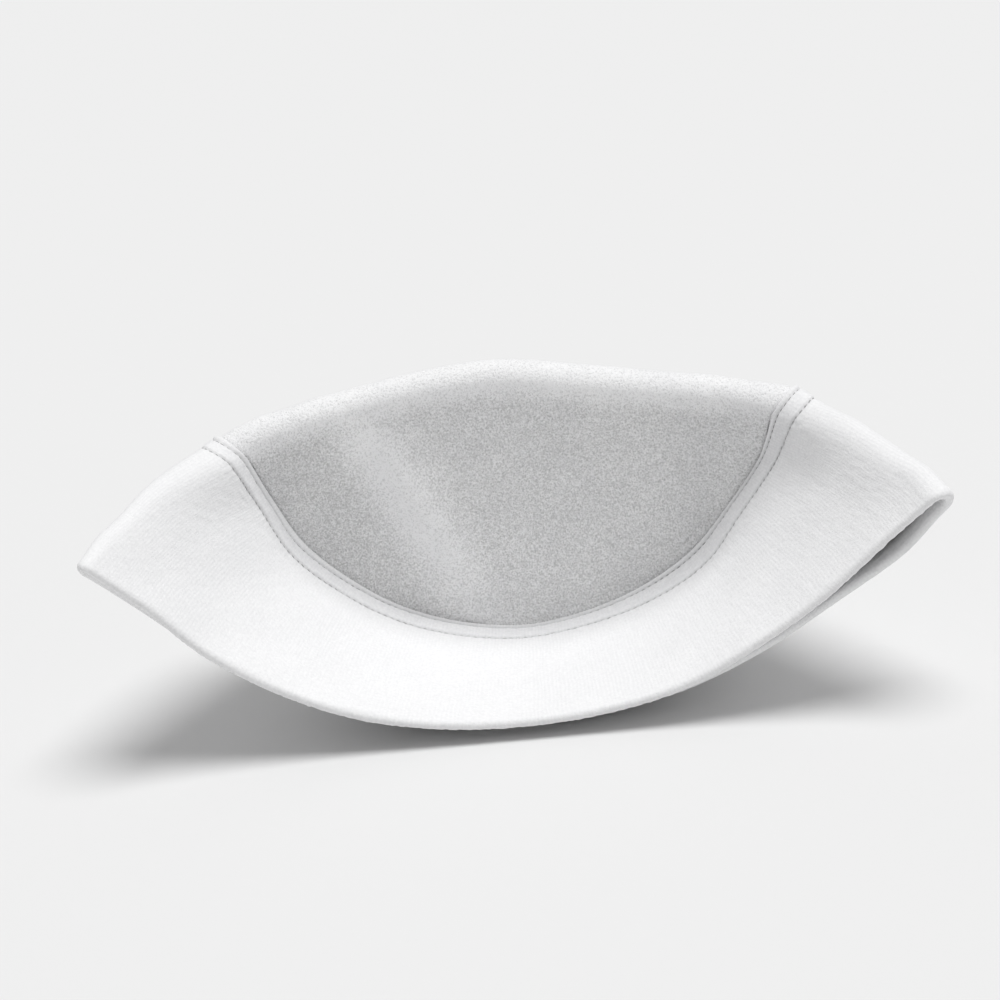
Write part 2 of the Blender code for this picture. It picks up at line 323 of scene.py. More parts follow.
@dataclass(frozen=True)
class SoftRipple:
    """An uneven surface of one coarseness, made from waves in many directions.

    Attributes:
        size: The usual distance from one rise to the next, in millimetres.
        height: The usual height of a rise, in millimetres.
        seed: Which of many such surfaces it is.
        waves: How many waves it is made from.
    """

    size: float
    height: float
    seed: int
    waves: int = 28

    def at(self, points: Array) -> Array:
        """Reads the surface.

        Args:
            points: In millimetres.

        Returns:
            The height at each point.
        """
        draw = np.random.default_rng(self.seed)
        ways = unit(draw.normal(size=(self.waves, 3)))
        pitch = 2 * math.pi / self.size * draw.uniform(0.6, 1.4, self.waves)
        phase = draw.uniform(0, 2 * math.pi, self.waves)
        total = np.zeros(points.shape[:-1])
        for way, rate, start in zip(ways, pitch, phase):
            total += np.cos(points @ way * rate + start)
        return total * self.height * math.sqrt(2 / self.waves)


@dataclass(frozen=True)
class RidgeFold:
    """The fold over the top of the crown, whose axis runs from the left end to the right.

    Attributes:
        rows: The axis at evenly spaced stations.
        step: A short step along the axis, in rows.
    """

    rows: tuple[RidgeRow, ...] = RIDGE
    step: float = 0.2

    def frame(self, station: Array) -> tuple[Array, Array, Array]:
        """Reads the fold at a station.

        Args:
            station: Distances from the crown's centre along the fold.

        Returns:
            The axis points and, as long as the fold's radius, the ways up the front cloth and out of it.
        """
        points = points_of(self.rows)
        shape = np.array([(row.radius, row.lean) for row in self.rows], float)
        spacing = self.rows[1].station - self.rows[0].station
        place = (np.asarray(station, float) - self.rows[0].station) / spacing
        axis = smooth(points, place)
        along = unit(smooth(points, place + self.step) - smooth(points, place - self.step))
        read = smooth(shape, place)
        radius, lean = read[..., :1], np.radians(read[..., 1])
        rise = np.stack([np.zeros_like(lean), -np.sin(lean), np.cos(lean)], -1)
        rise = unit(rise - along * dot(rise, along))
        return axis, radius * rise, radius * np.cross(along, rise)

    def point(self, station: Array, turn: Array) -> Array:
        """Finds the middle of the cloth on the fold.

        Args:
            station: Distances from the crown's centre along the fold.
            turn: Radians round it from its front.

        Returns:
            The points.
        """
        axis, rise, face = self.frame(station)
        turn = np.asarray(turn, float)[..., None]
        return axis + np.cos(turn) * face + np.sin(turn) * rise


@dataclass(frozen=True)
class SeamWays:
    """How the two cloths meet at places of the seam.

    Attributes:
        into_crown: The ways from the seam into the crown's cloth, square to it.
        into_band: The ways into the band's.
        gap: The gap between the two edges.
    """

    into_crown: Array
    into_band: Array
    gap: Array


@dataclass(frozen=True)
class Lie:
    """How the cap lies: where the middle of the crown's and the band's cloth is.

    Attributes:
        ridge: The fold over the top of the crown.
        crown_radius: Of the crown's disc.
        seam_slant: How far the seam runs along the ridge as it passes over the fold.
        seam_mitre: How far it is nearer the middle in front, and farther at the rear.
        seam_bend: How early the seam turns toward the fold that it runs onto.
        spoke_end: Where a line across the crown meets the fold, as a share of the half length.
        bow_right: How far the right side fold bows outward between seam and hem.
        bow_left: How far the left one does.
        bow_out: The share of a bow that goes outward.
        bow_up: The share that goes up.
        bow_fall: How quickly a bow ends beside its fold, as a power.
        full_right: How much fuller the right side fold is near the hem.
        full_left: How much fuller the left one is.
        full_at: Where that is most, as a share of the way from seam to hem.
        full_width: How far it reaches from there.
        rear_bulge: How far the rear half of the crown swells backward.
        bulge_length: The length of crown strip below which it swells less.
        crease_length: The length below which a crease is lower.
        cloth_on_table: The height of the middle of cloth that lies on the table.
        corner_draw: How far the cloth is drawn inside the corner at the seam.
        corner_reach: How far from the seam that fades.
        seam_gap: Between the crown's edge and the band's.
        fold_seam_gap: What is added to it over the folds.
        gap_fall: How quickly the added gap ends beside a fold, as a power.
        seam_step: The seam angle from one row of a table to the next.
        near: A short step, as a share of a line or in radians.
        small_turn: A short step along the seam, in degrees.
        line_step: The same, where a line's direction is read.
    """

    ridge: RidgeFold = field(default_factory=RidgeFold)
    crown_radius: float = 92.0
    seam_slant: float = 2.5
    seam_mitre: float = 1.5
    seam_bend: float = 0.45
    spoke_end: float = 0.55
    bow_right: float = 2.6
    bow_left: float = 3.6
    bow_out: float = 0.6
    bow_up: float = 0.8
    bow_fall: float = 8.0
    full_right: float = 2.0
    full_left: float = 1.2
    full_at: float = 0.84
    full_width: float = 0.12
    rear_bulge: float = 3.0
    bulge_length: float = 60.0
    crease_length: float = 40.0
    cloth_on_table: float = 1.3
    corner_draw: float = 1.05
    corner_reach: float = 1.62
    seam_gap: float = 0.35
    fold_seam_gap: float = 0.3
    gap_fall: float = 40.0
    seam_step: float = 15.0
    near: float = 0.04
    small_turn: float = 0.5
    line_step: float = 1.0

    def half_length(self, side: float) -> float:
        """Returns the distance from the crown's centre to the end of a half, 1 or -1, at the fold."""
        return self.crown_radius - self.seam_slant - side * self.seam_mitre

    def station_at(self, angle: Array, side: float) -> Array:
        """Returns the station of the strip of crown that ends at a seam angle."""
        return self.half_length(side) * np.cos(np.radians(angle))

    def fold_end(self, station: float) -> Array:
        """Returns where the front half of the crown meets the fold."""
        axis, _, face = self.ridge.frame(np.array(station))
        return axis + face

    def onto_fold(self, way: float) -> Array:
        """Returns the way of the seam from the front onto the right fold, 1, or the left one, -1."""
        start = self.end_fold_point(way, 0.0, np.array(0.0))
        return unit(self.end_fold_point(way, 0.0, np.array(self.near)) - start)

    def front_seam(self, angle: Array) -> Array:
        """Finds the seam of the upper half.

        Args:
            angle: The seam angles.

        Returns:
            The points.
        """
        right, left = (self.fold_end(self.station_at(end, 1)) for end in (0.0, 180.0))
        rows = [right, *points_of(SEAM), left]
        before = rows[1] + 2 * self.seam_bend * length_of(rows[0] - rows[1]) * self.onto_fold(1)
        after = rows[-2] + 2 * self.seam_bend * length_of(rows[-1] - rows[-2]) * self.onto_fold(-1)
        return smooth(np.array([before, *rows, after]), np.asarray(angle, float) / self.seam_step + 1)

    def front_hem(self, angle: Array) -> Array:
        """Returns points of the hem of the upper half."""
        return smooth(points_of(HEM), np.asarray(angle, float) / self.seam_step)

    def nest(self, angle: Array) -> Array:
        """Returns the drop at the seam, the drop at the hem and the setback of the lower half."""
        return smooth(values_of(NEST), np.asarray(angle, float) / self.seam_step)

    def on_table(self, points: Array) -> Array:
        """Lifts cloth that would sink into the table onto it.

        Args:
            points: The middle of the cloth.

        Returns:
            The points, moved.
        """
        flat = points.copy()
        flat[..., 2] = np.maximum(flat[..., 2], self.cloth_on_table)
        return flat

    def direction(self, line: Callable[[Array], Array], angle: Array) -> Array:
        """Finds the way along a line of the upper half.

        Args:
            line: The method that gives the line's points.
            angle: The seam angles.

        Returns:
            The ways.
        """
        ahead = line(np.minimum(angle + self.line_step, 180.0))
        return unit(ahead - line(np.maximum(angle - self.line_step, 0.0)))

    def rear_seam(self, angle: Array) -> Array:
        """Finds the seam of the lower half, behind the front one by the fold and outside it by the nest.

        Args:
            angle: The seam angles.

        Returns:
            The points.
        """
        angle = np.asarray(angle, float)
        _, _, face = self.ridge.frame(self.station_at(angle, 0))
        outward = unit(np.cross(face, self.direction(self.front_seam, angle)))
        over = self.ridge.point(self.station_at(angle, -1), np.array(math.pi))
        over = over - self.ridge.point(self.station_at(angle, 1), np.array(0.0))
        return self.on_table(self.front_seam(angle) + over + self.nest(angle)[..., :1] * outward)

    def rear_hem(self, angle: Array) -> Array:
        """Finds the hem of the lower half.

        Args:
            angle: The seam angles.

        Returns:
            The points.
        """
        angle = np.asarray(angle, float)
        ruling = unit(self.front_hem(angle) - self.front_seam(angle))
        outward = unit(np.cross(self.direction(self.front_hem, angle), ruling))
        nest = self.nest(angle)
        return self.front_hem(angle) - outward * nest[..., 1:2] - ruling * nest[..., 2:3]

    def crease_height(self, station: Array, share: Array) -> Array:
        """Works out the creases' relief.

        Args:
            station: Distances from the crown's centre along the fold.
            share: From the fold, 0, to the seam, 1.

        Returns:
            The heights.
        """
        total = np.zeros(np.broadcast(station, share).shape)
        for crease in CREASES:
            middle = crease.ridge_station + (crease.seam_station - crease.ridge_station) * share
            total = total + crease.height * bell(station - middle, crease.width)
        return total * np.sin(math.pi * share) ** 2

    def strip_point(self, angle: Array, side: Side, share: Array) -> Array:
        """Finds the middle of the crown's cloth on strips square to the fold.

        Args:
            angle: The seam angles that the strips end at.
            side: Which half of the crown.
            share: From the fold, 0, to the seam, 1.

        Returns:
            The points.
        """
        station = self.station_at(angle, side.value)
        axis, rise, face = self.ridge.frame(station)
        seam = self.front_seam(angle) if side is Side.FRONT else self.rear_seam(angle)
        chord = axis + side.value * face - seam
        length = length_of(chord)
        f = (1.0 - np.asarray(share, float))[..., None]
        point = seam + chord * f + (length * unit(rise) - chord) * (f * f * (f - 1.0))
        if side is Side.FRONT:
            fade = np.minimum(1.0, length / self.crease_length)
            return point + unit(face) * self.crease_height(station, share)[..., None] * fade
        swell = self.rear_bulge * np.sin(math.pi * f) * np.minimum(1.0, length / self.bulge_length)
        return point - unit(face) * swell

    def spoke_point(self, angle: Array, side: Side, share: Array) -> Array:
        """Finds the middle of the crown's cloth on lines from the seam, slanting inward to the fold.

        Args:
            angle: The seam angles that the lines start from.
            side: Which half of the crown.
            share: From the seam, 0, to the fold, 1.

        Returns:
            The points.
        """
        radius = self.half_length(side.value)
        station = self.station_at(angle, side.value) * (1 - share + self.spoke_end * share)
        depth = radius * np.sin(np.radians(angle)) * (1 - share)
        strip = np.arccos(np.clip(station / radius, -1.0, 1.0))
        length = radius * np.sin(strip)
        part = np.where(length > TINY, depth / np.maximum(length, TINY), 1.0)
        return self.strip_point(np.degrees(strip), side, part)

    def end_fold_station(self, way: float, share: Array, turn: Array) -> Array:
        """Finds the stations of the ridge fold's cloth between the seam and the outermost spoke's end.

        Args:
            way: 1 at the right end, -1 at the left.
            share: From the seam, 0, to the spoke's end, 1.
            turn: Radians round the fold from its front.

        Returns:
            The stations.
        """
        inward = 1 - share + self.spoke_end * share
        front, rear = self.half_length(1) * inward, self.half_length(-1) * inward
        top, middle = self.crown_radius * inward, (front + rear) / 2
        return way * (middle + (front - middle) * np.cos(turn) + (top - middle) * np.sin(turn))

    def end_fold_point(self, way: float, share: Array, turn: Array) -> Array:
        """Returns the ridge fold's cloth at the same places."""
        return self.ridge.point(self.end_fold_station(way, share, turn), turn)

    def side_bow(self, angle: Array, share: Array) -> Array:
        """Works out how the side folds and the cloth beside them bow outward and up.

        Args:
            angle: The seam angles.
            share: From the seam, 0, to the hem, 1.

        Returns:
            The moves.
        """
        nearness = np.cos(np.radians(angle))
        most = np.where(nearness > 0, self.bow_right, self.bow_left)
        full = np.where(nearness > 0, self.full_right, self.full_left)
        full = full * bell(share - self.full_at, self.full_width)
        amount = (most * np.sin(math.pi * share) ** 2 + full) * np.abs(nearness) ** self.bow_fall
        way = np.stack([self.bow_out * np.sign(nearness), 0 * nearness, self.bow_up + 0 * nearness], -1)
        return amount[..., None] * way

    def band_point(self, stretch: Stretch, value: Array, share: Array) -> Array:
        """Finds the middle of the band's cloth.

        Args:
            stretch: The stretch of the loop.
            value: The seam angle in degrees, or on a side fold the turn in radians from its front.
            share: From the seam, 0, to the hem, 1.

        Returns:
            The points.
        """
        value, share = np.broadcast_arrays(np.asarray(value, float), np.asarray(share, float))
        s = share[..., None]
        if stretch is Stretch.FRONT:
            seam, hem = self.front_seam(value), self.front_hem(value)
            return seam + (hem - seam) * s + self.side_bow(value, share)
        if stretch is Stretch.REAR:
            seam, hem = self.rear_seam(value), self.rear_hem(value)
            return self.on_table(seam + (hem - seam) * s + self.side_bow(value, share))
        angle, way = (0.0, 1) if stretch is Stretch.RIGHT_FOLD else (180.0, -1)
        front, rear = (self.band_point(half, angle, share) for half in (Stretch.FRONT, Stretch.REAR))
        seam_middle = (self.front_seam(angle) + self.rear_seam(angle)) / 2
        top = self.ridge.point(np.array(way * self.crown_radius), np.array(math.pi / 2))
        at_seam = top - seam_middle
        hem_radius = length_of(self.front_hem(angle) - self.rear_hem(angle)) / 2
        at_hem = -way * self.direction(self.front_hem, np.array(angle)) * hem_radius
        turn = value[..., None]
        outward = at_seam * (1 - s) + at_hem * s
        return (front + rear) / 2 + (front - rear) / 2 * np.cos(turn) + outward * np.sin(turn)

    def ways_at_seam(self, stretch: Stretch, value: Array) -> SeamWays:
        """Finds the ways into the two cloths at the seam.

        Args:
            stretch: The stretch of the loop.
            value: The seam angles in degrees, or on a side fold the turns in radians.

        Returns:
            The ways and the gap there.
        """
        value = np.asarray(value, float)
        seam = self.band_point(stretch, value, 0.0)
        if stretch in (Stretch.LEFT_FOLD, Stretch.RIGHT_FOLD):
            way = 1 if stretch is Stretch.RIGHT_FOLD else -1
            after = self.band_point(stretch, value + self.near, 0.0)
            line = after - self.band_point(stretch, value - self.near, 0.0)
            into_crown = self.end_fold_point(way, np.array(3 * self.near), value) - seam
            gap = np.full(value.shape, self.seam_gap + self.fold_seam_gap)
        else:
            side = Side.FRONT if stretch is Stretch.FRONT else Side.REAR
            step = np.where(value < 90, self.small_turn, -self.small_turn)
            line = self.band_point(stretch, value + step, 0.0) - seam
            into_crown = self.spoke_point(value, side, np.array(self.near)) - seam
            gap = self.seam_gap + self.fold_seam_gap * np.abs(np.cos(np.radians(value))) ** self.gap_fall
        into_band = self.band_point(stretch, value, self.near) - seam
        return SeamWays(unit(across(into_crown, line)), unit(across(into_band, line)), gap)

    def turned(self, points: Array, distance: Array, ways: SeamWays, side: float) -> Array:
        """Rounds the corner at the seam, and keeps the crown's edge clear of the band's.

        Args:
            points: The cloth, one line of points for each place of the seam.
            distance: The points' distances from the seam.
            ways: The ways at those places.
            side: 1 for the crown, -1 for the band.

        Returns:
            The points, moved.
        """
        draw = self.corner_draw * np.exp(-distance / self.corner_reach)[..., None]
        apart = np.clip(1.0 - distance, 0.0, 1.0)[..., None] * ways.gap[:, None, None] / 2
        inward = (ways.into_crown + ways.into_band)[:, None, :]
        clear = unit(ways.into_crown - ways.into_band)[:, None, :]
        return points + inward * draw + clear * side * apart


@dataclass(frozen=True)
class Placement:
    """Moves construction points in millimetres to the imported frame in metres.

    Attributes:
        origin_x: Where the frame's origin, below the cap, is in construction.
        origin_forward: The same, forward.
    """

    origin_x: float = 1.4
    origin_forward: float = 38.7

    def points(self, construction: Array) -> Array:
        """Returns the points in metres."""
        return (construction - spot(self.origin_x, self.origin_forward, 0.0)) * MM

    def construction(self, points: Array) -> Array:
        """Returns the construction points of points in metres."""
        return points / MM + spot(self.origin_x, self.origin_forward, 0.0)


def mesh_from_grids(
    name: str, grids: list[Array], uvs: list[Array] | None, closed: bool
) -> bpy.types.Mesh:
    """Makes a smooth mesh from grids of points in metres, welded where they meet.

    Args:
        name: The mesh's name.
        grids: Each with the shape (columns, rows, 3).
        uvs: The texture places of each grid's points, or None. A closed grid has one more column of them.
        closed: Whether each grid's last column joins its first, and its last row its first.

    Returns:
        The mesh.
    """
    vertices, faces, places, base = [], [], [], 0
    for number, grid in enumerate(grids):
        columns, rows = grid.shape[:2]
        wide = columns if closed else columns - 1
        tall = rows if closed else rows - 1
        i, j = (part.ravel() for part in np.meshgrid(np.arange(wide), np.arange(tall), indexing="ij"))
        i_next, j_next = (i + 1) % columns, (j + 1) % rows
        corners = [(i, j), (i_next, j), (i_next, j_next), (i, j_next)]
        faces.append(np.stack([base + a * rows + b for a, b in corners], 1))
        if uvs is not None:
            uv_corners = [(i, j), (i + 1, j), (i + 1, j_next), (i, j_next)]
            places.append(np.stack([uvs[number][a, b] for a, b in uv_corners], 1))
        vertices.append(grid.reshape(-1, 3))
        base += columns * rows
    points, corners = np.concatenate(vertices), np.concatenate(faces)
    mesh = bpy.data.meshes.new(name)
    mesh.vertices.add(len(points))
    mesh.vertices.foreach_set("co", points.astype(np.float32).ravel())
    mesh.loops.add(corners.size)
    mesh.loops.foreach_set("vertex_index", corners.astype(np.int32).ravel())
    mesh.polygons.add(len(corners))
    mesh.polygons.foreach_set("loop_start", np.arange(0, corners.size, 4, dtype=np.int32))
    if uvs is not None:
        layer = mesh.uv_layers.new(name="cloth")
        layer.uv.foreach_set("vector", np.concatenate(places).astype(np.float32).ravel())
    mesh.update(calc_edges=True)
    mesh.validate()
    mesh.shade_smooth()
    return mesh


def grid_normals(grid: Array, closed: bool) -> Array:
    """Finds the normals of a grid of points, by the right-hand rule from columns to rows.

    Args:
        grid: The points, by column and row.
        closed: Whether the last column joins the first.

    Returns:
        The normals.
    """
    if closed:
        along = np.roll(grid, -1, 0) - np.roll(grid, 1, 0)
    else:
        along = np.gradient(grid, axis=0)
    return unit(np.cross(along, np.gradient(grid, axis=1)))


class Nodes:
    """Builds a material's node tree in few lines."""

    def __init__(self, name: str) -> None:
        """Starts a material with a Principled shader.

        Args:
            name: The material's name.
        """
        self.material = bpy.data.materials.new(name)
        self.material.use_nodes = True
        self.tree = self.material.node_tree
        self.shader = self.tree.nodes["Principled BSDF"]

    def add(self, kind: str, **settings: object) -> bpy.types.Node:
        """Adds a node and sets its properties.

        Args:
            kind: The node's type, without the word ShaderNode.
            settings: Its properties by name.

        Returns:
            The node.
        """
        node = self.tree.nodes.new("ShaderNode" + kind)
        for key, value in settings.items():
            setattr(node, key, value)
        return node

    def link(self, source: Socket, target: Socket) -> None:
        """Links two sockets."""
        self.tree.links.new(source, target)

    def scaled(self, source: Socket, scale: tuple[float, float, float]) -> Socket:
        """Scales places along each axis.

        Args:
            source: The places.
            scale: By how much along each.

        Returns:
            The scaled places.
        """
        node = self.add("Mapping")
        node.inputs["Scale"].default_value = scale
        self.link(source, node.inputs["Vector"])
        return node.outputs["Vector"]

    def noise(self, places: Socket, scale: float, detail: float, rough: float) -> Socket:
        """Makes a noise.

        Args:
            places: Where it is read.
            scale: How fine it is.
            detail: How many finer layers it has.
            rough: How strong those are.

        Returns:
            Its value.
        """
        node = self.add("TexNoise")
        node.inputs["Scale"].default_value = scale
        node.inputs["Detail"].default_value = detail
        node.inputs["Roughness"].default_value = rough
        self.link(places, node.inputs["Vector"])
        return node.outputs["Fac"]

    def ranged(self, source: Socket, old: Span, new: Span) -> Socket:
        """Moves a value from one range to another and keeps it inside that.

        Args:
            source: The value.
            old: The range that it comes from.
            new: The one that it moves to.

        Returns:
            The moved value.
        """
        node = self.add("MapRange")
        for key, value in zip(("From Min", "From Max", "To Min", "To Max"), (*old, *new)):
            node.inputs[key].default_value = value
        self.link(source, node.inputs["Value"])
        return node.outputs["Result"]

    def maths(self, operation: str, first: Value, second: Value) -> Socket:
        """Works out a value from two others.

        Args:
            operation: The Math node's operation.
            first: The first value.
            second: The second one.

        Returns:
            The result.
        """
        node = self.add("Math", operation=operation)
        for value, socket in zip((first, second), node.inputs):
            if isinstance(value, float):
                socket.default_value = value
            else:
                self.link(value, socket)
        return node.outputs[0]

    def mixed(self, amount: Socket, dark: Colour, light: Colour) -> Socket:
        """Mixes two colours.

        Args:
            amount: The share of the light one.
            dark: The colour at 0.
            light: The colour at 1.

        Returns:
            The mix.
        """
        node = self.add("Mix", data_type="RGBA")
        node.inputs[6].default_value = (*dark, 1.0)
        node.inputs[7].default_value = (*light, 1.0)
        self.link(amount, node.inputs[0])
        return node.outputs[2]

    def tinted(self, colour: Socket, amount: Socket, tint: Colour) -> Socket:
        """Multiplies a colour by a tint.

        Args:
            colour: The colour.
            amount: How much of the tint shows, from 0 to 1.
            tint: The tint.

        Returns:
            The tinted colour.
        """
        node = self.add("Mix", data_type="RGBA", blend_type="MULTIPLY")
        self.link(colour, node.inputs[6])
        node.inputs[7].default_value = (*tint, 1.0)
        self.link(amount, node.inputs[0])
        return node.outputs[2]

    def bump(
        self, height: Socket, distance: float, strength: float, under: Socket | None = None
    ) -> Socket:
        """Makes a bump.

        Args:
            height: Its height, as a share of the distance.
            distance: Its full height, in metres.
            strength: How much of it shows.
            under: The normal that it lies over, if not the mesh's.

        Returns:
            The normal with the bump.
        """
        node = self.add("Bump")
        node.inputs["Distance"].default_value = distance
        node.inputs["Strength"].default_value = strength
        self.link(height, node.inputs["Height"])
        if under is not None:
            self.link(under, node.inputs["Normal"])
        return node.outputs["Normal"]

    def cloth_shader(self, roughness: float, sheen: float, sheen_roughness: float) -> None:
        """Sets the values that are the same all over a cloth.

        Args:
            roughness: The shader's roughness.
            sheen: The weight of its sheen.
            sheen_roughness: How wide the sheen spreads.
        """
        values = {
            "Roughness": roughness,
            "Metallic": 0.0,
            "Specular IOR Level": 0.15,
            "Sheen Weight": sheen,
            "Sheen Roughness": sheen_roughness,
        }
        for key, value in values.items():
            self.shader.inputs[key].default_value = value


@dataclass(frozen=True)
class BrushedFleece:
    """The crown's finish: a brushed pile with mottles of about a millimetre, and painted light that the
    mesh carries.

    Attributes:
        name: The material's name.
        painted_light: The name of the mesh's values of painted light, 0 for none, 1 for a full painted
            highlight and below 0 for painted shade.
        painted_light_weight: How much lighter the painted highlight makes the cloth at 1, and darker the
            painted shade.
        light: The lightest colour, which the mottle, the fibres and the painted highlight run up to.
        dark: The colour in the hollows of the mottle.
        mottle: Mottles for each metre.
        mottle_span: The noise values that the mottle's tones run between.
        mottle_share: The mottle's share of the tones.
        fibre: Fibres for each metre.
        fibre_span: The noise values that their tones run between.
        fibre_share: Their share of the tones.
        fibre_scale: How the fibres are drawn out along each axis.
        patch: Wide patches for each metre.
        patch_span: The noise values that they run between.
        patch_tint: The darkest patches' tint.
    """

    name: str = "brushed fleece"
    painted_light: str = "painted_light"
    painted_light_weight: float = 0.5
    light: Colour = (0.975, 0.975, 0.98)
    dark: Colour = (0.555, 0.555, 0.555)
    mottle: float = 1500.0
    mottle_span: Span = (0.39, 0.60)
    mottle_share: float = 0.62
    fibre: float = 2600.0
    fibre_span: Span = (0.40, 0.60)
    fibre_share: float = 0.38
    fibre_scale: tuple[float, float, float] = (1.0, 1.0, 0.6)
    patch: float = 60.0
    patch_span: Span = (0.35, 0.7)
    patch_tint: Colour = (0.95, 0.95, 0.955)

    def material(self) -> bpy.types.Material:
        """Builds the finish.

        Returns:
            The material.
        """
        nodes = Nodes(self.name)
        places = nodes.add("TexCoord").outputs["Object"]
        mottle = nodes.noise(places, self.mottle, detail=3.0, rough=0.65)
        fibre = nodes.noise(nodes.scaled(places, self.fibre_scale), self.fibre, detail=2.0, rough=0.6)
        patch = nodes.noise(places, self.patch, detail=2.0, rough=0.5)
        amount = nodes.ranged(mottle, self.mottle_span, (0.0, self.mottle_share))
        amount = nodes.maths("ADD", amount, nodes.ranged(fibre, self.fibre_span, (0.0, self.fibre_share)))
        # Painted light from the mesh: a painted highlight on the ridge roll and along the crease, and
        # painted shade beside the crease.
        painted_light_amount = nodes.add("Attribute", attribute_name=self.painted_light).outputs["Fac"]
        amount = nodes.maths("ADD", amount, nodes.maths("MULTIPLY", painted_light_amount, self.painted_light_weight))
        colour = nodes.mixed(amount, self.dark, self.light)
        colour = nodes.tinted(colour, nodes.ranged(patch, self.patch_span, (0.0, 1.0)), self.patch_tint)
        nodes.link(colour, nodes.shader.inputs["Base Color"])
        normal = nodes.bump(mottle, distance=0.0006, strength=0.8)
        normal = nodes.bump(fibre, distance=0.00025, strength=0.8, under=normal)
        nodes.link(normal, nodes.shader.inputs["Normal"])
        nodes.cloth_shader(roughness=1.0, sheen=0.25, sheen_roughness=0.6)
        return nodes.material


@dataclass(frozen=True)
class WaleFleece:
    """The band's finish: fine wales from seam to hem under a short pile, greyer on the stitched strip,
    with painted shade in its grooves and inside.

    Places along the cloth are in metres: around the loop, and from the seam to the hem and back inside.

    Attributes:
        name: The material's name.
        light: The cloth's colour.
        dark: Its colour between the wales and in the pile's hollows.
        wale: Wales for each metre.
        drift: How far the wales drift to and fro, in radians of a wale.
        drift_scale: How often they do along each axis of the cloth.
        patch: Patches for each metre in which the wales show more or less.
        patch_span: The noise values that the patches run between.
        wale_shown: How much the wales show, at least and at most.
        mottle: Mottles for each metre.
        mottle_span: The noise values that their tones run between.
        mottle_tones: Those tones, darkest and lightest.
        fibre: Fibres for each metre.
        strip: Where the stitched strip starts and ends.
        strip_edge: How soft its edges are.
        strip_tint: Its tint.
        strip_span: The noise values of the mottle that its tint runs between.
        strip_tones: How much of the tint shows there.
        grooves: Where the grooves are that the rows of stitches lie in.
        groove_span: How far from a groove's middle its painted shade starts to fade and ends.
        groove_shade_tint: The painted shade in a groove.
        inside: Where the cloth, turned in at the hem, gets painted shade for the dark gap inside the
            mouth.
        inside_shade_tint: That painted shade.
    """

    name: str = "wale fleece"
    light: Colour = (0.89, 0.89, 0.895)
    dark: Colour = (0.76, 0.76, 0.77)
    wale: float = 930.0
    drift: float = 9.0
    drift_scale: tuple[float, float, float] = (250.0, 60.0, 1.0)
    patch: float = 45.0
    patch_span: Span = (0.35, 0.65)
    wale_shown: Span = (0.05, 0.35)
    mottle: float = 1000.0
    mottle_span: Span = (0.3, 0.65)
    mottle_tones: Span = (0.45, 1.0)
    fibre: float = 2600.0
    strip: Span = (0.0030, 0.0100)
    strip_edge: float = 0.0004
    strip_tint: Colour = (0.96, 0.96, 0.965)
    strip_span: Span = (0.35, 0.65)
    strip_tones: Span = (1.0, 0.35)
    grooves: Span = (0.0028, 0.0100)
    groove_span: Span = (0.0001, 0.0007)
    groove_shade_tint: Colour = (0.83, 0.83, 0.83)
    inside: Span = (0.1015, 0.1055)
    inside_shade_tint: Colour = (0.28, 0.28, 0.28)

    def wales(self, nodes: Nodes, cloth: Socket, along_loop: Socket) -> Socket:
        """Makes the wales.

        Args:
            nodes: The material's nodes.
            cloth: Places on the cloth.
            along_loop: How far round the loop they are.

        Returns:
            The wales' height, from 0 to 1.
        """
        drift = nodes.noise(nodes.scaled(cloth, self.drift_scale), 1.0, detail=2.0, rough=0.5)
        even = nodes.maths("MULTIPLY", along_loop, math.tau * self.wale)
        phase = nodes.maths("ADD", even, nodes.maths("MULTIPLY", drift, self.drift))
        return nodes.ranged(nodes.maths("SINE", phase, 0.0), (-1.0, 1.0), (0.0, 1.0))

    def plain_colour(self, nodes: Nodes, mottle: Socket, wale: Socket, patch: Socket) -> Socket:
        """Colours the cloth all over.

        Args:
            nodes: The material's nodes.
            mottle: The mottle's noise.
            wale: The wales' height.
            patch: The patches' noise.

        Returns:
            The colour.
        """
        shown = nodes.ranged(patch, self.patch_span, self.wale_shown)
        past_wales = nodes.maths("SUBTRACT", 1.0, nodes.maths("MULTIPLY", wale, shown))
        tones = nodes.ranged(mottle, self.mottle_span, self.mottle_tones)
        return nodes.mixed(nodes.maths("MULTIPLY", tones, past_wales), self.dark, self.light)

    def sewn_colour(self, nodes: Nodes, colour: Socket, mottle: Socket, from_seam: Socket) -> Socket:
        """Tints the stitched strip, and paints shade in the grooves and on the cloth inside the cap.

        Args:
            nodes: The material's nodes.
            colour: The plain cloth's colour.
            mottle: The mottle's noise.
            from_seam: The distance from the seam, which runs on inside from the hem.

        Returns:
            The colour with the strip's tint and the painted shade of the grooves and of the inside.
        """
        start, end = self.strip
        started = nodes.ranged(from_seam, (start - self.strip_edge, start + self.strip_edge), (0.0, 1.0))
        not_ended = nodes.ranged(from_seam, (end - self.strip_edge, end + self.strip_edge), (1.0, 0.0))
        strip = nodes.maths("MULTIPLY", started, not_ended)
        greyer = nodes.maths("MULTIPLY", strip, nodes.ranged(mottle, self.strip_span, self.strip_tones))
        colour = nodes.tinted(colour, greyer, self.strip_tint)
        # Painted shade in the grooves that the rows of stitches lie in.
        for groove in self.grooves:
            away = nodes.maths("ABSOLUTE", nodes.maths("SUBTRACT", from_seam, groove), 0.0)
            groove_shade_amount = nodes.ranged(away, self.groove_span, (1.0, 0.0))
            colour = nodes.tinted(colour, groove_shade_amount, self.groove_shade_tint)
        # Painted shade on the turned-in cloth, for the dark gap inside the mouth.
        return nodes.tinted(colour, nodes.ranged(from_seam, self.inside, (0.0, 1.0)), self.inside_shade_tint)

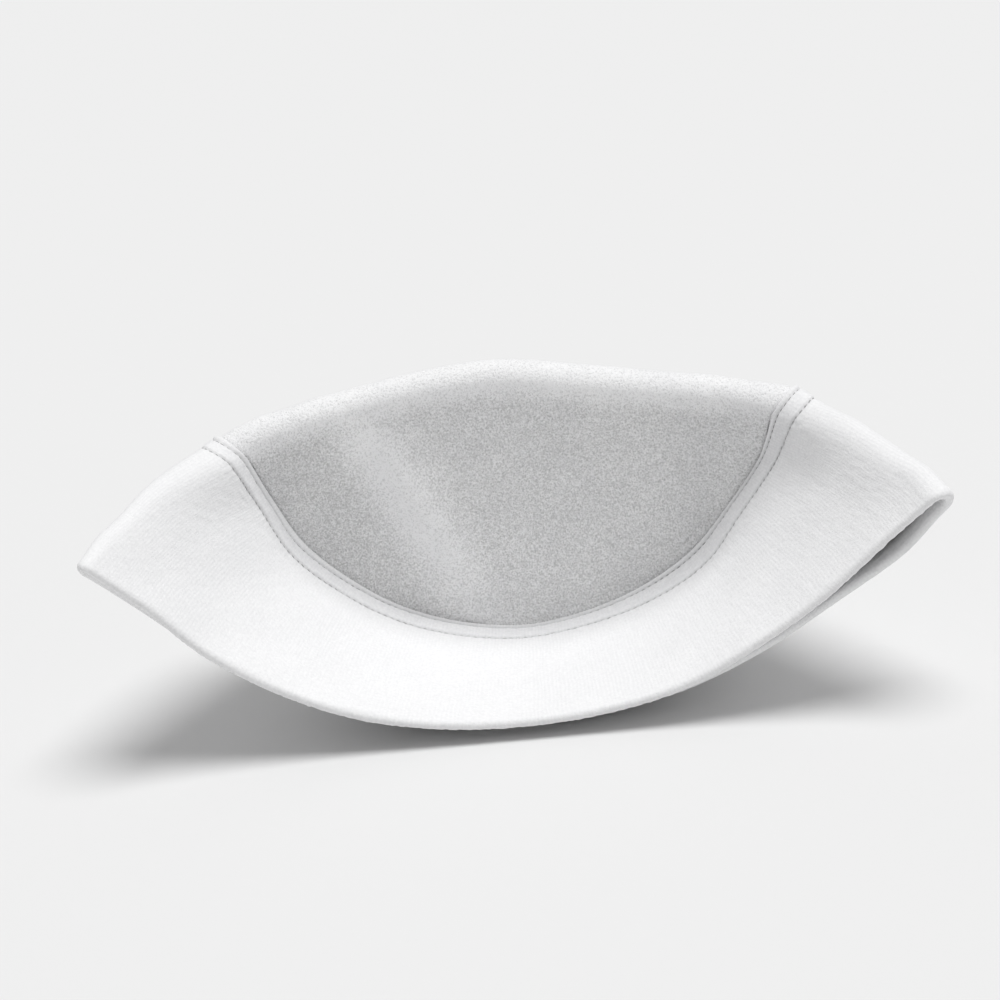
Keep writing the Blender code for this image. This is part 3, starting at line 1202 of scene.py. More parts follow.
    def material(self) -> bpy.types.Material:
        """Builds the finish.

        Returns:
            The material.
        """
        nodes = Nodes(self.name)
        coordinates = nodes.add("TexCoord")
        places, cloth = coordinates.outputs["Object"], coordinates.outputs["UV"]
        mottle = nodes.noise(places, self.mottle, detail=3.0, rough=0.6)
        fibre = nodes.noise(places, self.fibre, detail=2.0, rough=0.6)
        patch = nodes.noise(places, self.patch, detail=2.0, rough=0.5)
        split = nodes.add("SeparateXYZ")
        nodes.link(cloth, split.inputs[0])
        wale = self.wales(nodes, cloth, split.outputs["X"])
        colour = self.plain_colour(nodes, mottle, wale, patch)
        colour = self.sewn_colour(nodes, colour, mottle, split.outputs["Y"])
        nodes.link(colour, nodes.shader.inputs["Base Color"])
        normal = nodes.bump(wale, distance=0.00005, strength=0.4)
        normal = nodes.bump(mottle, distance=0.0003, strength=0.6, under=normal)
        normal = nodes.bump(fibre, distance=0.00015, strength=0.7, under=normal)
        nodes.link(normal, nodes.shader.inputs["Normal"])
        nodes.cloth_shader(roughness=1.0, sheen=0.2, sheen_roughness=0.6)
        return nodes.material


@dataclass(frozen=True)
class SpunThread:
    """The finish of a sewing thread, whose grey is painted shade of the sunken stitches.

    Attributes:
        name: The material's name.
        light: The thread's colour, greyed by painted shade of the sunken stitches.
        dark: Its colour between the turns of its twist, greyed further by painted shade.
        twist: Turns for each metre.
        twist_span: The noise values that their tones run between.
    """

    name: str = "spun thread with dark painted shade"
    # These grey tones are painted shade of the sunken stitches.
    light: Colour = (0.36, 0.36, 0.36)
    dark: Colour = (0.22, 0.22, 0.22)
    twist: float = 2500.0
    twist_span: Span = (0.35, 0.65)

    def material(self) -> bpy.types.Material:
        """Builds the finish.

        Returns:
            The material.
        """
        nodes = Nodes(self.name)
        places = nodes.add("TexCoord").outputs["Object"]
        twist = nodes.noise(places, self.twist, detail=2.0, rough=0.5)
        colour = nodes.mixed(nodes.ranged(twist, self.twist_span, (0.0, 1.0)), self.dark, self.light)
        nodes.link(colour, nodes.shader.inputs["Base Color"])
        nodes.link(nodes.bump(twist, distance=0.0001, strength=0.6), nodes.shader.inputs["Normal"])
        nodes.cloth_shader(roughness=0.8, sheen=0.1, sheen_roughness=0.5)
        return nodes.material


@dataclass(frozen=True)
class PaleFloor:
    """The finish of the studio floor.

    Attributes:
        name: The material's name.
        colour: Its colour.
        roughness: How matt it is.
        specular: How much it shines.
    """

    name: str = "pale floor"
    colour: Colour = (0.77, 0.77, 0.77)
    roughness: float = 0.9
    specular: float = 0.1

    def material(self) -> bpy.types.Material:
        """Builds the finish.

        Returns:
            The material.
        """
        nodes = Nodes(self.name)
        nodes.shader.inputs["Base Color"].default_value = (*self.colour, 1.0)
        nodes.shader.inputs["Roughness"].default_value = self.roughness
        nodes.shader.inputs["Specular IOR Level"].default_value = self.specular
        return nodes.material


@dataclass
class Crown:
    """The folded disc of brushed fleece.

    Attributes:
        lie: How the cap lies.
        placement: Where the frame has it.
        finish: Of the cloth.
        wall: The cloth's thickness.
        columns: Lines across each half of the disc.
        turn_rows: Points along a line near the seam, where the cloth turns in.
        turn_zone: How far that reaches from the seam.
        rows: Points along the rest of a line.
        fold_steps: Points round the fold.
        tuck: How far the edge is tucked into the seam.
        tuck_reach: How far from the seam the tuck starts.
        fade: The share of a line beside the ridge over which its uneven surface ends.
        ripples: The unevenness of its surface.
        ripple_start: How far from the seam the unevenness starts.
        ripple_full: How far from the seam it is full.
        highlight_start: How far below the ridge the painted highlight on the ridge roll starts to fade.
        highlight_end: How far below the ridge it is gone.
        front_span: How far forward the crease's painted light and shade are full and end, keeping them on
            the front half.
        crease_depth: How far below the ridge the crease runs.
        crest_highlight: How much painted highlight lies along the crease.
        crest_start: How far below the ridge the crease's painted highlight is full.
        crest_fade: How far below the ridge it starts to fade and is least.
        crest_loss: The share of it that is lost there.
        valley_shade: How much painted shade lies on the crease's left.
        valley_aside: How far from the crease that is most.
        valley_width: How far it reaches from there.
    """

    lie: Lie
    placement: Placement
    finish: BrushedFleece
    wall: float = 2.0
    columns: int = 200
    turn_rows: int = 16
    turn_zone: float = 8.0
    rows: int = 56
    fold_steps: int = 16
    tuck: float = 0.7
    tuck_reach: float = 1.6
    fade: float = 0.12
    ripples: tuple[SoftRipple, ...] = (SoftRipple(9.0, 0.10, 11), SoftRipple(26.0, 0.16, 12))
    ripple_start: float = 0.5
    ripple_full: float = 5.0
    highlight_start: float = 0.0
    highlight_end: float = 7.5
    front_span: Span = (-1.0, -4.0)
    crease_depth: float = 75.0
    crest_highlight: float = 1.05
    crest_start: float = 12.0
    crest_fade: Span = (45.0, 75.0)
    crest_loss: float = 0.5
    valley_shade: float = 0.3
    valley_aside: float = 20.0
    valley_width: float = 13.0

    def distances(self, length: Array) -> tuple[Array, Array]:
        """Spaces the points along lines of the given lengths.

        Args:
            length: Of each line, from the seam.

        Returns:
            The shares and the distances from the seam, one row for each line.
        """
        zone = np.minimum(self.turn_zone, length / 3)[:, None]
        near = zone * np.linspace(0, 1, self.turn_rows + 1)[None, :]
        far = zone + (length[:, None] - zone) * np.linspace(0, 1, self.rows + 1)[None, 1:]
        distance = np.concatenate([near, far], 1)
        return distance / length[:, None], distance

    def half(self, side: Side) -> tuple[Array, Array, Array]:
        """Lays one flat half of the crown.

        Args:
            side: Which half.

        Returns:
            The points by line from the seam, the shares along the lines and their distances from the seam.
        """
        lie = self.lie
        angles = np.linspace(0.0, 180.0, self.columns + 1)
        step = np.where(angles < 90, lie.small_turn, -lie.small_turn)
        seam = lie.spoke_point(angles, side, np.array(0.0))
        way = lie.spoke_point(angles, side, np.array(lie.near)) - seam
        along = lie.spoke_point(angles + step, side, np.array(0.0)) - seam
        squareness = length_of(across(way, along))[:, 0]
        share, distance = self.distances(length_of(way)[:, 0] / lie.near)
        points = lie.spoke_point(angles[:, None], side, share)
        distance = distance * squareness[:, None]
        stretch = Stretch.FRONT if side is Side.FRONT else Stretch.REAR
        points = lie.turned(points, distance, lie.ways_at_seam(stretch, angles), 1)
        return points, share, distance

    def fold(self, front: Array, rear: Array, share: Array, distance: Array) -> Array:
        """Lays the cloth over the ridge.

        Args:
            front: The front half's points.
            rear: The rear half's points.
            share: The shares along the front half's lines.
            distance: Their distances from the seam.

        Returns:
            The points by arc, from the right end to the left, from front to rear.
        """
        lie = self.lie
        turns = np.linspace(0, math.pi, self.fold_steps + 1)[1:-1]
        arcs = []
        for way, stretch, i in ((1, Stretch.RIGHT_FOLD, 0), (-1, Stretch.LEFT_FOLD, self.columns)):
            over = lie.end_fold_point(way, share[i][None, :], turns[:, None])
            axis, _, _ = lie.ridge.frame(lie.end_fold_station(way, share[i][None, :], turns[:, None]))
            away = np.broadcast_to(distance[i], over.shape[:2])
            outward = unit(over - axis)
            over = lie.turned(over, away, lie.ways_at_seam(stretch, turns), 1)
            fade = ramp(1 - share[i], 0.0, self.fade)[None, :, None]
            over += (self.tucked(over, away, outward) - over) * fade
            arc = np.concatenate([front[i][None], over, rear[i][None]], 0).transpose(1, 0, 2)
            arcs.append(arc[:-1])
        angles = np.linspace(0.0, 180.0, self.columns + 1)
        side = np.cos(turns)
        station = lie.spoke_end * lie.half_length(side[None, :]) * np.cos(np.radians(angles))[:, None]
        over = lie.ridge.point(station, turns[None, :])
        middle = np.concatenate([front[:, -1:], over, rear[:, -1:]], 1)
        return np.concatenate([arcs[0], middle, arcs[1][::-1]], 0)

    def tucked(self, points: Array, distance: Array, outward: Array) -> Array:
        """Tucks the cloth's edge into the seam and makes its surface uneven.

        Args:
            points: The middle of the cloth.
            distance: Their distances from the seam.
            outward: The ways out of the cloth.

        Returns:
            The points, moved.
        """
        uneven = sum(ripple.at(points) for ripple in self.ripples)
        sink = self.tuck * np.clip(1 - distance / self.tuck_reach, 0, 1) ** 2
        shown = ramp(distance, self.ripple_start, self.ripple_full)
        return points + outward * (uneven * shown - sink)[..., None]

    def build(self) -> bpy.types.Object:
        """Makes the crown's mesh and dresses it.

        Returns:
            The piece.
        """
        front, share, away = self.half(Side.FRONT)
        rear, _, rear_away = self.half(Side.REAR)
        fold = self.fold(front, rear, share, away)
        front_out, rear_out = -grid_normals(front, False), grid_normals(rear, False)
        front_out *= np.sign(-front_out[self.columns // 2, self.rows // 2, 1])
        rear_out *= np.sign(rear_out[self.columns // 2, self.rows // 2, 1])
        fade = ramp(1 - share, 0.0, self.fade)[..., None]
        front = front + (self.tucked(front, away, front_out) - front) * fade
        rear = rear + (self.tucked(rear, rear_away, rear_out) - rear) * fade
        arcs = share.shape[1] - 1
        fold[:arcs, 0], fold[:arcs, -1] = front[0, :-1], rear[0, :-1]
        fold[-arcs:, 0], fold[-arcs:, -1] = front[-1, :-1][::-1], rear[-1, :-1][::-1]
        grids = [self.placement.points(grid) for grid in (front, fold, rear)]
        mesh = mesh_from_grids("crown_cloth", grids, None, False)
        self.weld(mesh)
        # Writes the painted highlight and painted shade that the finish reads.
        self.painted_light(mesh)
        piece = bpy.data.objects.new("crown_cloth", mesh)
        bpy.context.scene.collection.objects.link(piece)
        solid = piece.modifiers.new("Cloth", "SOLIDIFY")
        solid.thickness = self.wall * MM
        solid.offset = 0.0
        mesh.materials.append(self.finish.material())
        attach(piece, "root")
        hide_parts("crown")
        return piece

    def painted_light(self, mesh: bpy.types.Mesh) -> None:
        """Writes the painted light: a painted highlight over the ridge roll and along the crease, and
        painted shade on the crease's left.

        Args:
            mesh: The crown's mesh, which gets the values.
        """
        points = np.empty(3 * len(mesh.vertices), np.float32)
        mesh.vertices.foreach_get("co", points)
        points = self.placement.construction(points.reshape(-1, 3))
        ridge = np.array([(row.x, row.up) for row in self.lie.ridge.rows])
        below = np.interp(points[:, 0], ridge[:, 0], ridge[:, 1]) - points[:, 2]
        # Painted highlight on the ridge roll, full at the ridge and fading below it.
        value = 1 - ramp(below, self.highlight_start, self.highlight_end)
        front = 1 - ramp(-points[:, 1], *self.front_span)
        crease = CREASES[0]
        slant = (crease.seam_station - crease.ridge_station) / self.crease_depth
        aside = points[:, 0] - (crease.ridge_station + slant * below)
        # Painted highlight along the crease's crest and painted shade on its left, on the front half only.
        crest = self.crest_highlight * bell(aside, crease.width)
        valley = self.valley_shade * bell(aside + self.valley_aside, self.valley_width)
        reach = ramp(below, 0.0, self.crest_start) * (1 - self.crest_loss * ramp(below, *self.crest_fade))
        value += front * reach * (crest - valley)
        layer = mesh.attributes.new(self.finish.painted_light, "FLOAT", "POINT")
        layer.data.foreach_set("value", value.astype(np.float32))

    def weld(self, mesh: bpy.types.Mesh) -> None:
        """Joins the points where the grids meet and turns every face the same way.

        Args:
            mesh: The crown's mesh.
        """
        shape = bmesh.new()
        shape.from_mesh(mesh)
        bmesh.ops.remove_doubles(shape, verts=shape.verts, dist=JOIN_DISTANCE)
        bmesh.ops.recalc_face_normals(shape, faces=shape.faces)
        shape.to_mesh(mesh)
        shape.free()
        mesh.shade_smooth()


@dataclass
class Band:
    """The loop of doubled fleece, with the raised strip and the grooves of its two rows of stitches.

    Attributes:
        lie: How the cap lies.
        placement: Where the frame has it.
        finish: Of the cloth.
        wall: The doubled cloth's thickness.
        front_columns: Lines from seam to hem on the upper half.
        rear_columns: Lines on the lower half.
        fold_columns: Lines round each side fold.
        seam_rows: Points along a line in the stitched zone.
        seam_zone: How far that reaches from the seam.
        rows: Points along the rest of a line.
        hem_steps: Steps round the hem's edge.
        inner_skip: Which share of the rows the inner face keeps, one in so many.
        first_row: The first row of stitches' distance from the seam.
        second_row: The second row's.
        pitch: The length of a stitch.
        strip_height: How far the strip between the rows stands up over the seam allowance.
        strip_fall: How much less it does beside the second row than beside the first.
        strip_rise: The distance in which it rises beside the first row, and falls before the second.
        strip_over: How far past the second row it ends.
        roll_height: How far the roll beside the seam stands up.
        groove_depth: How deep a row of stitches pulls the cloth in.
        groove_even: The share of that which is the same all along the row.
        groove_beat: The share that comes and goes with the stitches.
        groove_width: How far a groove reaches from its middle.
        ditch_depth: How deep the cloth dips at the seam.
        ditch_width: How far that reaches.
        pucker_height: How high the cloth puckers beside the second row.
        pucker_start: The distance past the row in which the puckers rise.
        pucker_span: How far past the row they start to fade and end.
        hem_swell: How much thicker the cloth is inside the hem.
        swell_start: How far from the hem that starts to fade.
        swell_end: How far from it that ends.
        ragged: The unevenness of the hem's edge.
        fine_ripple: The unevenness of the whole band.
        fine_start: How far past the first row that is full.
        broad_ripple: The waves of the plain cloth.
        broad_start: How far past the second row they are full.
        dip_start: How far from the seam the dip past the strip is deepest.
        dip_end: How far from the seam it ends.
        width_end: How far from the seam the strip's own scale ends.
        inside_start: Where the finish's places of the inner face start, at the hem.
    """

    lie: Lie
    placement: Placement
    finish: WaleFleece
    wall: float = 2.6
    front_columns: int = 300
    rear_columns: int = 150
    fold_columns: int = 14
    seam_rows: int = 40
    seam_zone: float = 15.0
    rows: int = 48
    hem_steps: int = 6
    inner_skip: int = 4
    first_row: float = 2.8
    second_row: float = 10.0
    pitch: float = 2.3
    strip_height: float = 0.5
    strip_fall: float = 0.1
    strip_rise: float = 0.9
    strip_over: float = 0.2
    roll_height: float = 0.75
    groove_depth: float = 0.5
    groove_even: float = 0.85
    groove_beat: float = 0.15
    groove_width: float = 0.38
    ditch_depth: float = 0.8
    ditch_width: float = 0.6
    pucker_height: float = 0.10
    pucker_start: float = 0.8
    pucker_span: Span = (1.0, 6.0)
    hem_swell: float = 0.55
    swell_start: float = 1.0
    swell_end: float = 7.0
    ragged: SoftRipple = SoftRipple(2.0, 0.09, 23)
    fine_ripple: SoftRipple = SoftRipple(2.6, 0.05, 22)
    fine_start: float = 1.0
    broad_ripple: SoftRipple = SoftRipple(30.0, 0.16, 21)
    broad_start: float = 8.0
    dip_start: float = 10.0
    dip_end: float = 55.0
    width_end: float = 40.0
    inside_start: float = 100.0

    def lines(self) -> list[tuple[Stretch, Array]]:
        """Spaces the lines round the loop.

        Returns:
            The stretches of the loop with the places of their lines.
        """
        front = np.linspace(0.0, 180.0, self.front_columns + 1)
        rear = np.linspace(180.0, 0.0, self.rear_columns + 1)
        turns = np.linspace(0, math.pi, self.fold_columns + 1)[1:-1]
        return [
            (Stretch.FRONT, front),
            (Stretch.LEFT_FOLD, turns),
            (Stretch.REAR, rear),
            (Stretch.RIGHT_FOLD, math.pi - turns),
        ]

    def middle(self) -> tuple[Array, Array]:
        """Lays the middle of the cloth.

        Returns:
            The points by line from seam to hem, and their distances from the seam on the strip's scale.
        """
        points, distances, dips = [], [], []
        for stretch, value in self.lines():
            whole = self.lie.band_point(stretch, value, 1.0) - self.lie.band_point(stretch, value, 0.0)
            length = length_of(whole)
            near = self.seam_zone * np.linspace(0, 1, self.seam_rows + 1)[None, :] + 0 * length
            end = length - self.wall / 2
            far = self.seam_zone + (end - self.seam_zone) * np.linspace(0, 1, self.rows + 1)[None, 1:]
            distance = np.concatenate([near, far], 1)
            cloth = self.lie.band_point(stretch, value[:, None], distance / length)
            points.append(self.lie.turned(cloth, distance, self.lie.ways_at_seam(stretch, value), -1))
            width, dip, first = self.strip_at(stretch, value)
            past_strip = ramp(distance, 0.0, self.dip_start)
            dips.append(dip * past_strip * (1 - ramp(distance, self.dip_start, self.dip_end)))
            near_strip = 1 - ramp(distance, self.seam_zone, self.width_end)
            row = self.first_row + first
            moved = first * ramp(distance, 0.0, row) * (1 - ramp(distance, row, self.second_row))
            distances.append(distance / (1 + (width - 1) * near_strip) - moved)
        cloth = np.concatenate(points)
        cloth = cloth - grid_normals(cloth, True) * np.concatenate(dips)[..., None]
        return cloth, np.concatenate(distances)

    def strip_at(self, stretch: Stretch, value: Array) -> tuple[Array, Array, Array]:
        """Reads how the stitched strip lies.

        Args:
            stretch: The stretch of the loop.
            value: The seam angles in degrees, or on a side fold the turns in radians.

        Returns:
            The widths as shares, the dips past the strip and the moves of the first row, one row each.
        """
        rows = values_of(STRIP)
        if stretch is Stretch.FRONT:
            read = smooth(rows, value / self.lie.seam_step)
        elif stretch is Stretch.REAR:
            read = smooth(rows, value / self.lie.seam_step) * np.array([1.0, 0.0, 1.0])
        else:
            end = rows[0] if stretch is Stretch.RIGHT_FOLD else rows[-1]
            dip = end[1] * (1 + np.cos(value)) / 2
            read = np.stack([end[0] + 0 * value, dip, end[2] + 0 * value], -1)
        return read[:, :1], read[:, 1:2], read[:, 2:]

    def run_along(self, points: Array) -> Array:
        """Measures the loop in the stitched strip.

        Args:
            points: The middle of the cloth, by line.

        Returns:
            How far along the loop each line is, with the whole loop last.
        """
        ring = points[:, self.seam_rows // 2]
        step = np.linalg.norm(np.roll(ring, -1, 0) - ring, axis=1)
        return np.concatenate([[0.0], np.cumsum(step)])

    def relief(self, distance: Array, run: Array, points: Array) -> Array:
        """Works out how far the outer face stands out of the plain cloth.

        Args:
            distance: From the seam.
            run: Along the loop, for each line.
            points: The middle of the cloth.

        Returns:
            The height at each point.
        """
        beat = np.cos(2 * math.pi * run / self.pitch)[:, None]
        height = -self.ditch_depth * bell(distance, self.ditch_width)
        height += self.roll_height * bell(distance - self.first_row / 2, self.first_row / 3)
        strip = ramp(distance, self.first_row, self.first_row + self.strip_rise)
        strip *= 1 - ramp(distance, self.second_row - self.strip_rise, self.second_row + self.strip_over)
        slope = np.clip((distance - self.first_row) / (self.second_row - self.first_row), 0.0, 1.0)
        height += (self.strip_height - self.strip_fall * slope) * strip
        for row in (self.first_row, self.second_row):
            groove = self.groove_depth * (self.groove_even - self.groove_beat * beat)
            height -= groove * bell(distance - row, self.groove_width)
        past = distance - self.second_row
        beside = ramp(past, 0.0, self.pucker_start) * (1 - ramp(past, *self.pucker_span))
        height += self.pucker_height * beat * beside
        height += self.broad_ripple.at(points) * ramp(past, 0.0, self.broad_start)
        height += self.fine_ripple.at(points) * ramp(distance - self.first_row, 0.0, self.fine_start)
        return height

    def inner_wall(self, middle: Array) -> Array:
        """Returns how far the inner face is from points of the middle, with the swell beside the hem."""
        to_hem = length_of(middle - middle[:, -1:])[..., 0]
        return self.wall / 2 + self.hem_swell * (1 - ramp(to_hem, self.swell_start, self.swell_end))

    def outer_face(self) -> tuple[Array, Array, Array, Array, Array]:
        """Lays the outer face of the cloth.

        Returns:
            The middle of the cloth, the ways outward, the outer face, the distances from the seam and
            the run along the loop.
        """
        middle, distance = self.middle()
        outward = grid_normals(middle, True)
        run = self.run_along(middle)
        outer = middle + outward * (self.wall / 2 + self.relief(distance, run[:-1], middle))[..., None]
        outer[..., 2] = np.maximum(outer[..., 2], 0.0)
        return middle, outward, outer, distance, run

    def hem(self, middle: Array, outward: Array, half: Array, turns: Array) -> Array:
        """Lays the rounded edge of the hem.

        Args:
            middle: The middle of the cloth.
            outward: The ways out of it.
            half: How far the inner face is from it.
            turns: Radians round the edge from the outer face.

        Returns:
            The points by line, from the outer face to the inner one.
        """
        out_of_hem = unit(middle[:, -1] - middle[:, -2])
        ring = np.cos(turns) * outward[:, -1] + np.sin(turns) * out_of_hem
        turned_in = (1 - np.cos(turns[..., 0])) / 2
        uneven = self.ragged.at(middle[:, -1] + ring * half[:, -1:])
        reach = self.wall / 2 + (half[:, -1] - self.wall / 2 + uneven) * turned_in
        return (middle[:, -1] + ring * reach[..., None]).transpose(1, 0, 2)

    def build(self) -> bpy.types.Object:
        """Makes the band's mesh and dresses it.

        Returns:
            The piece.
        """
        middle, outward, outer, distance, run = self.outer_face()
        half = self.inner_wall(middle)
        turns = np.linspace(0, math.pi, self.hem_steps + 1)[1:-1, None, None]
        inner = (middle - outward * half[..., None])[:, ::-1]
        keep = sorted({*range(0, inner.shape[1], self.inner_skip), inner.shape[1] - 1})
        section = np.concatenate([outer, self.hem(middle, outward, half, turns), inner[:, keep]], 1)
        beyond = distance[:, -1:] + half[:, -1:] * turns[:, 0, 0][None, :]
        inside = self.inside_start + distance[:, -1:] - distance[:, ::-1][:, keep]
        across_cloth = np.concatenate([distance, beyond, inside], 1)
        across_cloth = np.concatenate([across_cloth, across_cloth[:1]], 0)
        uv = np.stack([np.broadcast_to(run[:, None], across_cloth.shape), across_cloth], -1) * MM
        mesh = mesh_from_grids("band_cloth", [self.placement.points(section)], [uv], True)
        piece = bpy.data.objects.new("band_cloth", mesh)
        bpy.context.scene.collection.objects.link(piece)
        mesh.materials.append(self.finish.material())
        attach(piece, "root")
        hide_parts("band")
        return piece


@dataclass
class Topstitching:
    """Two rows of single stitches that lie in the band's grooves.

    Attributes:
        band: The band that they are sewn through.
        finishes: Of the thread of the first row and of the second.
        radius: The thread's.
        fill: The share of a stitch's pitch that shows.
        vary: How much that varies from stitch to stitch.
        shift: How far a stitch lies from its even place, as a share of the pitch.
        seed: Of the draw of both.
        lift: How far its middle lies over the groove, as a share of the radius.
        sink: How far the ends dive below the middle of a stitch.
        sink_power: How near the ends they do.
        taper_power: How near the ends a stitch narrows.
        tip: The square of the narrowest share of its radius.
        rings: Rings along a stitch.
        sides: Sides round it.
    """

    band: Band
    finishes: tuple[SpunThread, SpunThread]
    radius: float = 0.17
    fill: float = 0.66
    vary: float = 0.25
    shift: float = 0.08
    seed: int = 7
    lift: float = 0.7
    sink: float = 0.3
    sink_power: int = 4
    taper_power: int = 8
    tip: float = 0.05
    rings: int = 7
    sides: int = 6

    def groove(self, distance_of_row: float) -> tuple[Array, Array]:
        """Reads the outer face along one row of stitches.

        Args:
            distance_of_row: From the seam.

        Returns:
            A closed line of points along the groove, and the ways out of the cloth there.
        """
        _, outward, outer, distance, _ = self.band.outer_face()
        line, out = [], []
        for points, ways, away in zip(outer, outward, distance):
            line.append([np.interp(distance_of_row, away, points[:, k]) for k in range(3)])
            out.append([np.interp(distance_of_row, away, ways[:, k]) for k in range(3)])
        line, out = np.array(line), np.array(out)
        return np.concatenate([line, line[:1]]), np.concatenate([out, out[:1]])

    def row(self, distance_of_row: float) -> list[Array]:
        """Lays one row of stitches.

        Args:
            distance_of_row: From the seam.

        Returns:
            The stitches as tubes, each a grid of rings and sides.
        """
        line, out = self.groove(distance_of_row)
        run = np.concatenate([[0.0], np.cumsum(np.linalg.norm(np.diff(line, axis=0), axis=1))])
        count = round(run[-1] / self.band.pitch)
        share = np.linspace(-0.5, 0.5, self.rings)
        draw = np.random.default_rng(self.seed)
        tubes = []
        for number in range(count):
            shift = draw.uniform(-self.shift, self.shift)
            fill = self.fill * draw.uniform(1 - self.vary, 1 + self.vary)
            at = np.clip((number + 0.5 + shift + share * fill) * run[-1] / count, 0.0, run[-1])
            middle = np.stack([np.interp(at, run, line[:, k]) for k in range(3)], 1)
            up = unit(np.stack([np.interp(at, run, out[:, k]) for k in range(3)], 1))
            along = unit(np.gradient(middle, axis=0))
            aside = unit(np.cross(along, up))
            lift = self.radius * self.lift - self.sink * (2 * share) ** self.sink_power
            middle = middle + up * lift[:, None]
            girth = self.radius * np.sqrt(np.clip(1 - (2 * share) ** self.taper_power, self.tip, 1))
            turn = np.linspace(0, 2 * math.pi, self.sides, endpoint=False)[None, :, None]
            ring = np.cos(turn) * aside[:, None] + np.sin(turn) * up[:, None]
            tubes.append(middle[:, None] + ring * girth[:, None, None])
        return tubes

    def build(self) -> bpy.types.Object:
        """Makes both rows as one piece and dresses it.

        Returns:
            The piece.
        """
        first, second = self.row(self.band.first_row), self.row(self.band.second_row)
        tubes = first + second
        vertices, faces = [], []
        for tube in tubes:
            base = len(vertices)
            vertices += self.band.placement.points(tube).reshape(-1, 3).tolist()
            for i in range(self.rings - 1):
                for k in range(self.sides):
                    n = (k + 1) % self.sides
                    low, high = base + i * self.sides, base + (i + 1) * self.sides
                    faces.append((low + k, high + k, high + n, low + n))
            faces.append(tuple(base + k for k in range(self.sides)))
            last = base + (self.rings - 1) * self.sides
            faces.append(tuple(last + k for k in reversed(range(self.sides))))
        mesh = bpy.data.meshes.new("topstitching")
        mesh.from_pydata(vertices, [], faces)
        for finish in self.finishes:
            mesh.materials.append(finish.material())
        faces_of_first = len(first) * len(faces) // len(tubes)
        finish_of_face = (np.arange(len(faces)) >= faces_of_first).astype(np.int32)
        mesh.polygons.foreach_set("material_index", finish_of_face)
        mesh.update()
        mesh.shade_smooth()
        piece = bpy.data.objects.new("topstitching", mesh)
        bpy.context.scene.collection.objects.link(piece)
        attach(piece, "root")
        return piece


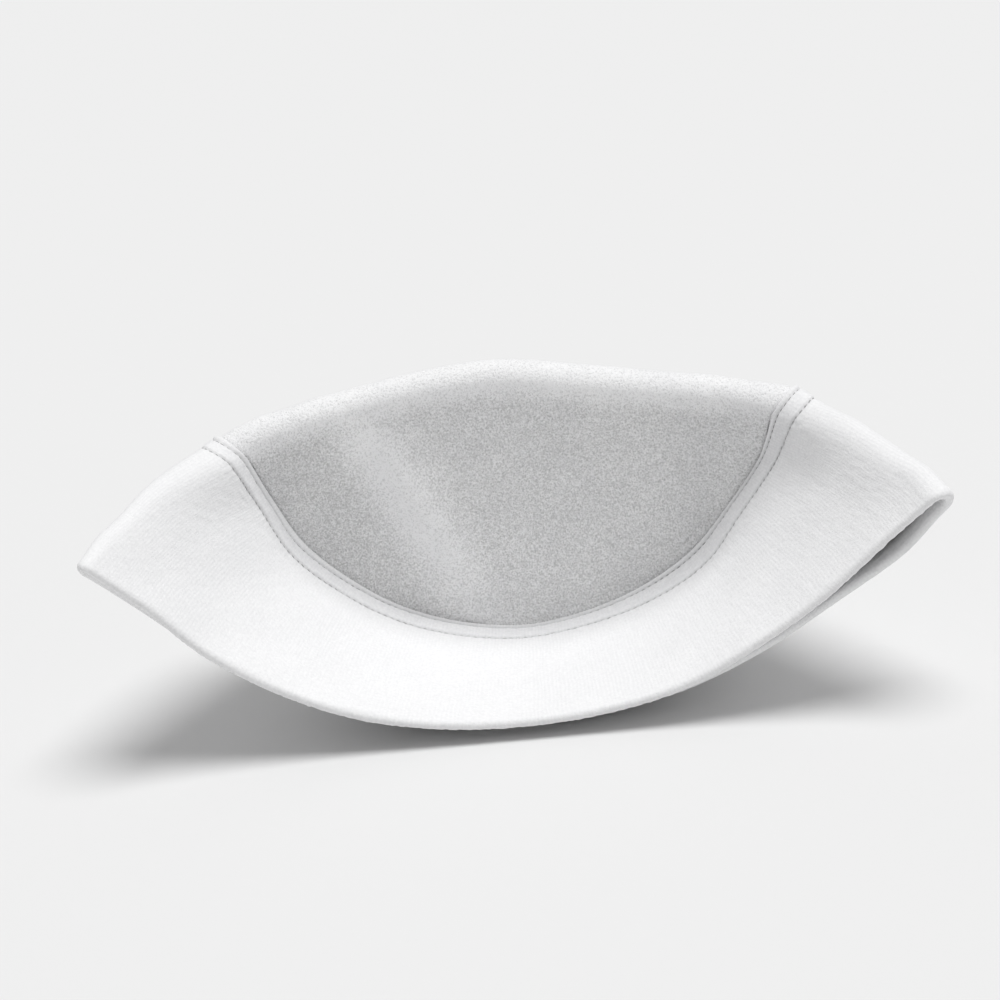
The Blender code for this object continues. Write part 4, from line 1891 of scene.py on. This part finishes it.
@dataclass
class Studio:
    """The floor, the lights and the camera.

    Attributes:
        elevation: How far the camera looks down, in degrees.
        roll: How far it is turned about its line of sight.
        place: Where it stands.
        lens: Its focal length in millimetres.
        shift: How far its picture is shifted across and up.
        sensor: The width of its sensor in millimetres.
        near_and_far: The distances that it sees between.
        floor_size: The length of the floor's sides.
        floor_drop: How far the floor lies below the cap.
        sky: The strength of the pale sky.
        sun_power: The strength of the soft light.
        sun_from: The way toward it.
        sun_spread: How wide it is, in degrees.
    """

    elevation: float = 20.0
    roll: float = 5.05
    place: tuple[float, float, float] = (-0.0012, -0.9815, 0.4059)
    lens: float = 123.5
    shift: Span = (-0.010, 0.040)
    sensor: float = 36.0
    near_and_far: Span = (0.01, 20.0)
    floor_size: float = 8.0
    floor_drop: float = 0.0002
    sky: float = 0.41
    sun_power: float = 2.3
    sun_from: tuple[float, float, float] = (0.15, -0.12, 0.97)
    sun_spread: float = 32.0

    def floor(self) -> bpy.types.Object:
        """Lays a plain pale floor under the cap.

        Returns:
            The floor.
        """
        half = self.floor_size / 2
        mesh = bpy.data.meshes.new("floor")
        corners = [(-half, -half, 0), (half, -half, 0), (half, half, 0), (-half, half, 0)]
        mesh.from_pydata(corners, [], [(0, 1, 2, 3)])
        floor = bpy.data.objects.new("floor", mesh)
        floor.location.z = -self.floor_drop
        bpy.context.scene.collection.objects.link(floor)
        mesh.materials.append(PaleFloor().material())
        return floor

    def lights(self) -> None:
        """Lights the cap softly from above, a little from the right and the front, under a pale sky."""
        world = bpy.data.worlds.new("studio")
        world.use_nodes = True
        background = world.node_tree.nodes["Background"]
        background.inputs["Color"].default_value = (1.0, 1.0, 1.0, 1.0)
        background.inputs["Strength"].default_value = self.sky
        bpy.context.scene.world = world
        light = bpy.data.lights.new("soft light", "SUN")
        light.energy = self.sun_power
        light.angle = math.radians(self.sun_spread)
        lamp = bpy.data.objects.new("soft light", light)
        lamp.location = self.sun_from
        lamp.rotation_mode = "QUATERNION"
        lamp.rotation_quaternion = (-Vector(self.sun_from)).to_track_quat("-Z", "Y")
        bpy.context.scene.collection.objects.link(lamp)

    def camera(self) -> None:
        """Sets the camera at the photograph's angle."""
        data = bpy.data.cameras.new("camera")
        data.lens = self.lens
        data.sensor_width = self.sensor
        data.shift_x, data.shift_y = self.shift
        data.clip_start, data.clip_end = self.near_and_far
        camera = bpy.data.objects.new("camera", data)
        bpy.context.scene.collection.objects.link(camera)
        tilt, roll = math.radians(self.elevation), math.radians(self.roll)
        look = Vector((0, math.cos(tilt), -math.sin(tilt)))
        level_up = Vector((0, math.sin(tilt), math.cos(tilt)))
        right = math.cos(roll) * Vector((1, 0, 0)) - math.sin(roll) * level_up
        up = right.cross(look)
        matrix = Matrix((right, up, -look)).transposed().to_4x4()
        matrix.translation = Vector(self.place)
        camera.matrix_world = matrix
        bpy.context.scene.camera = camera

    def build(self) -> None:
        """Makes the whole studio."""
        self.floor()
        self.lights()
        self.camera()
        view = bpy.context.scene.view_settings
        view.view_transform = "Standard"
        view.look = "None"


def main() -> None:
    """Builds the cap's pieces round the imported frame, and the studio."""
    logging.basicConfig(level=logging.INFO, format="%(name)s: %(message)s")
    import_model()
    lie, placement = Lie(), Placement()
    band = Band(lie, placement, WaleFleece())
    band_cloth = band.build()
    log.info("%s: %d faces", band_cloth.name, len(band_cloth.data.polygons))
    crown_cloth = Crown(lie, placement, BrushedFleece()).build()
    log.info("%s: %d faces", crown_cloth.name, len(crown_cloth.data.polygons))
    # Both threads are greyed with painted shade of the sunken stitches, the first row's more deeply.
    pale_thread = SpunThread("spun thread with light painted shade", (0.60, 0.60, 0.60), (0.40, 0.40, 0.40))
    stitches = Topstitching(band, (SpunThread(), pale_thread)).build()
    log.info("%s: %d faces", stitches.name, len(stitches.data.polygons))
    Studio().build()
    bpy.context.view_layer.update()


if __name__ == "__main__":
    main()
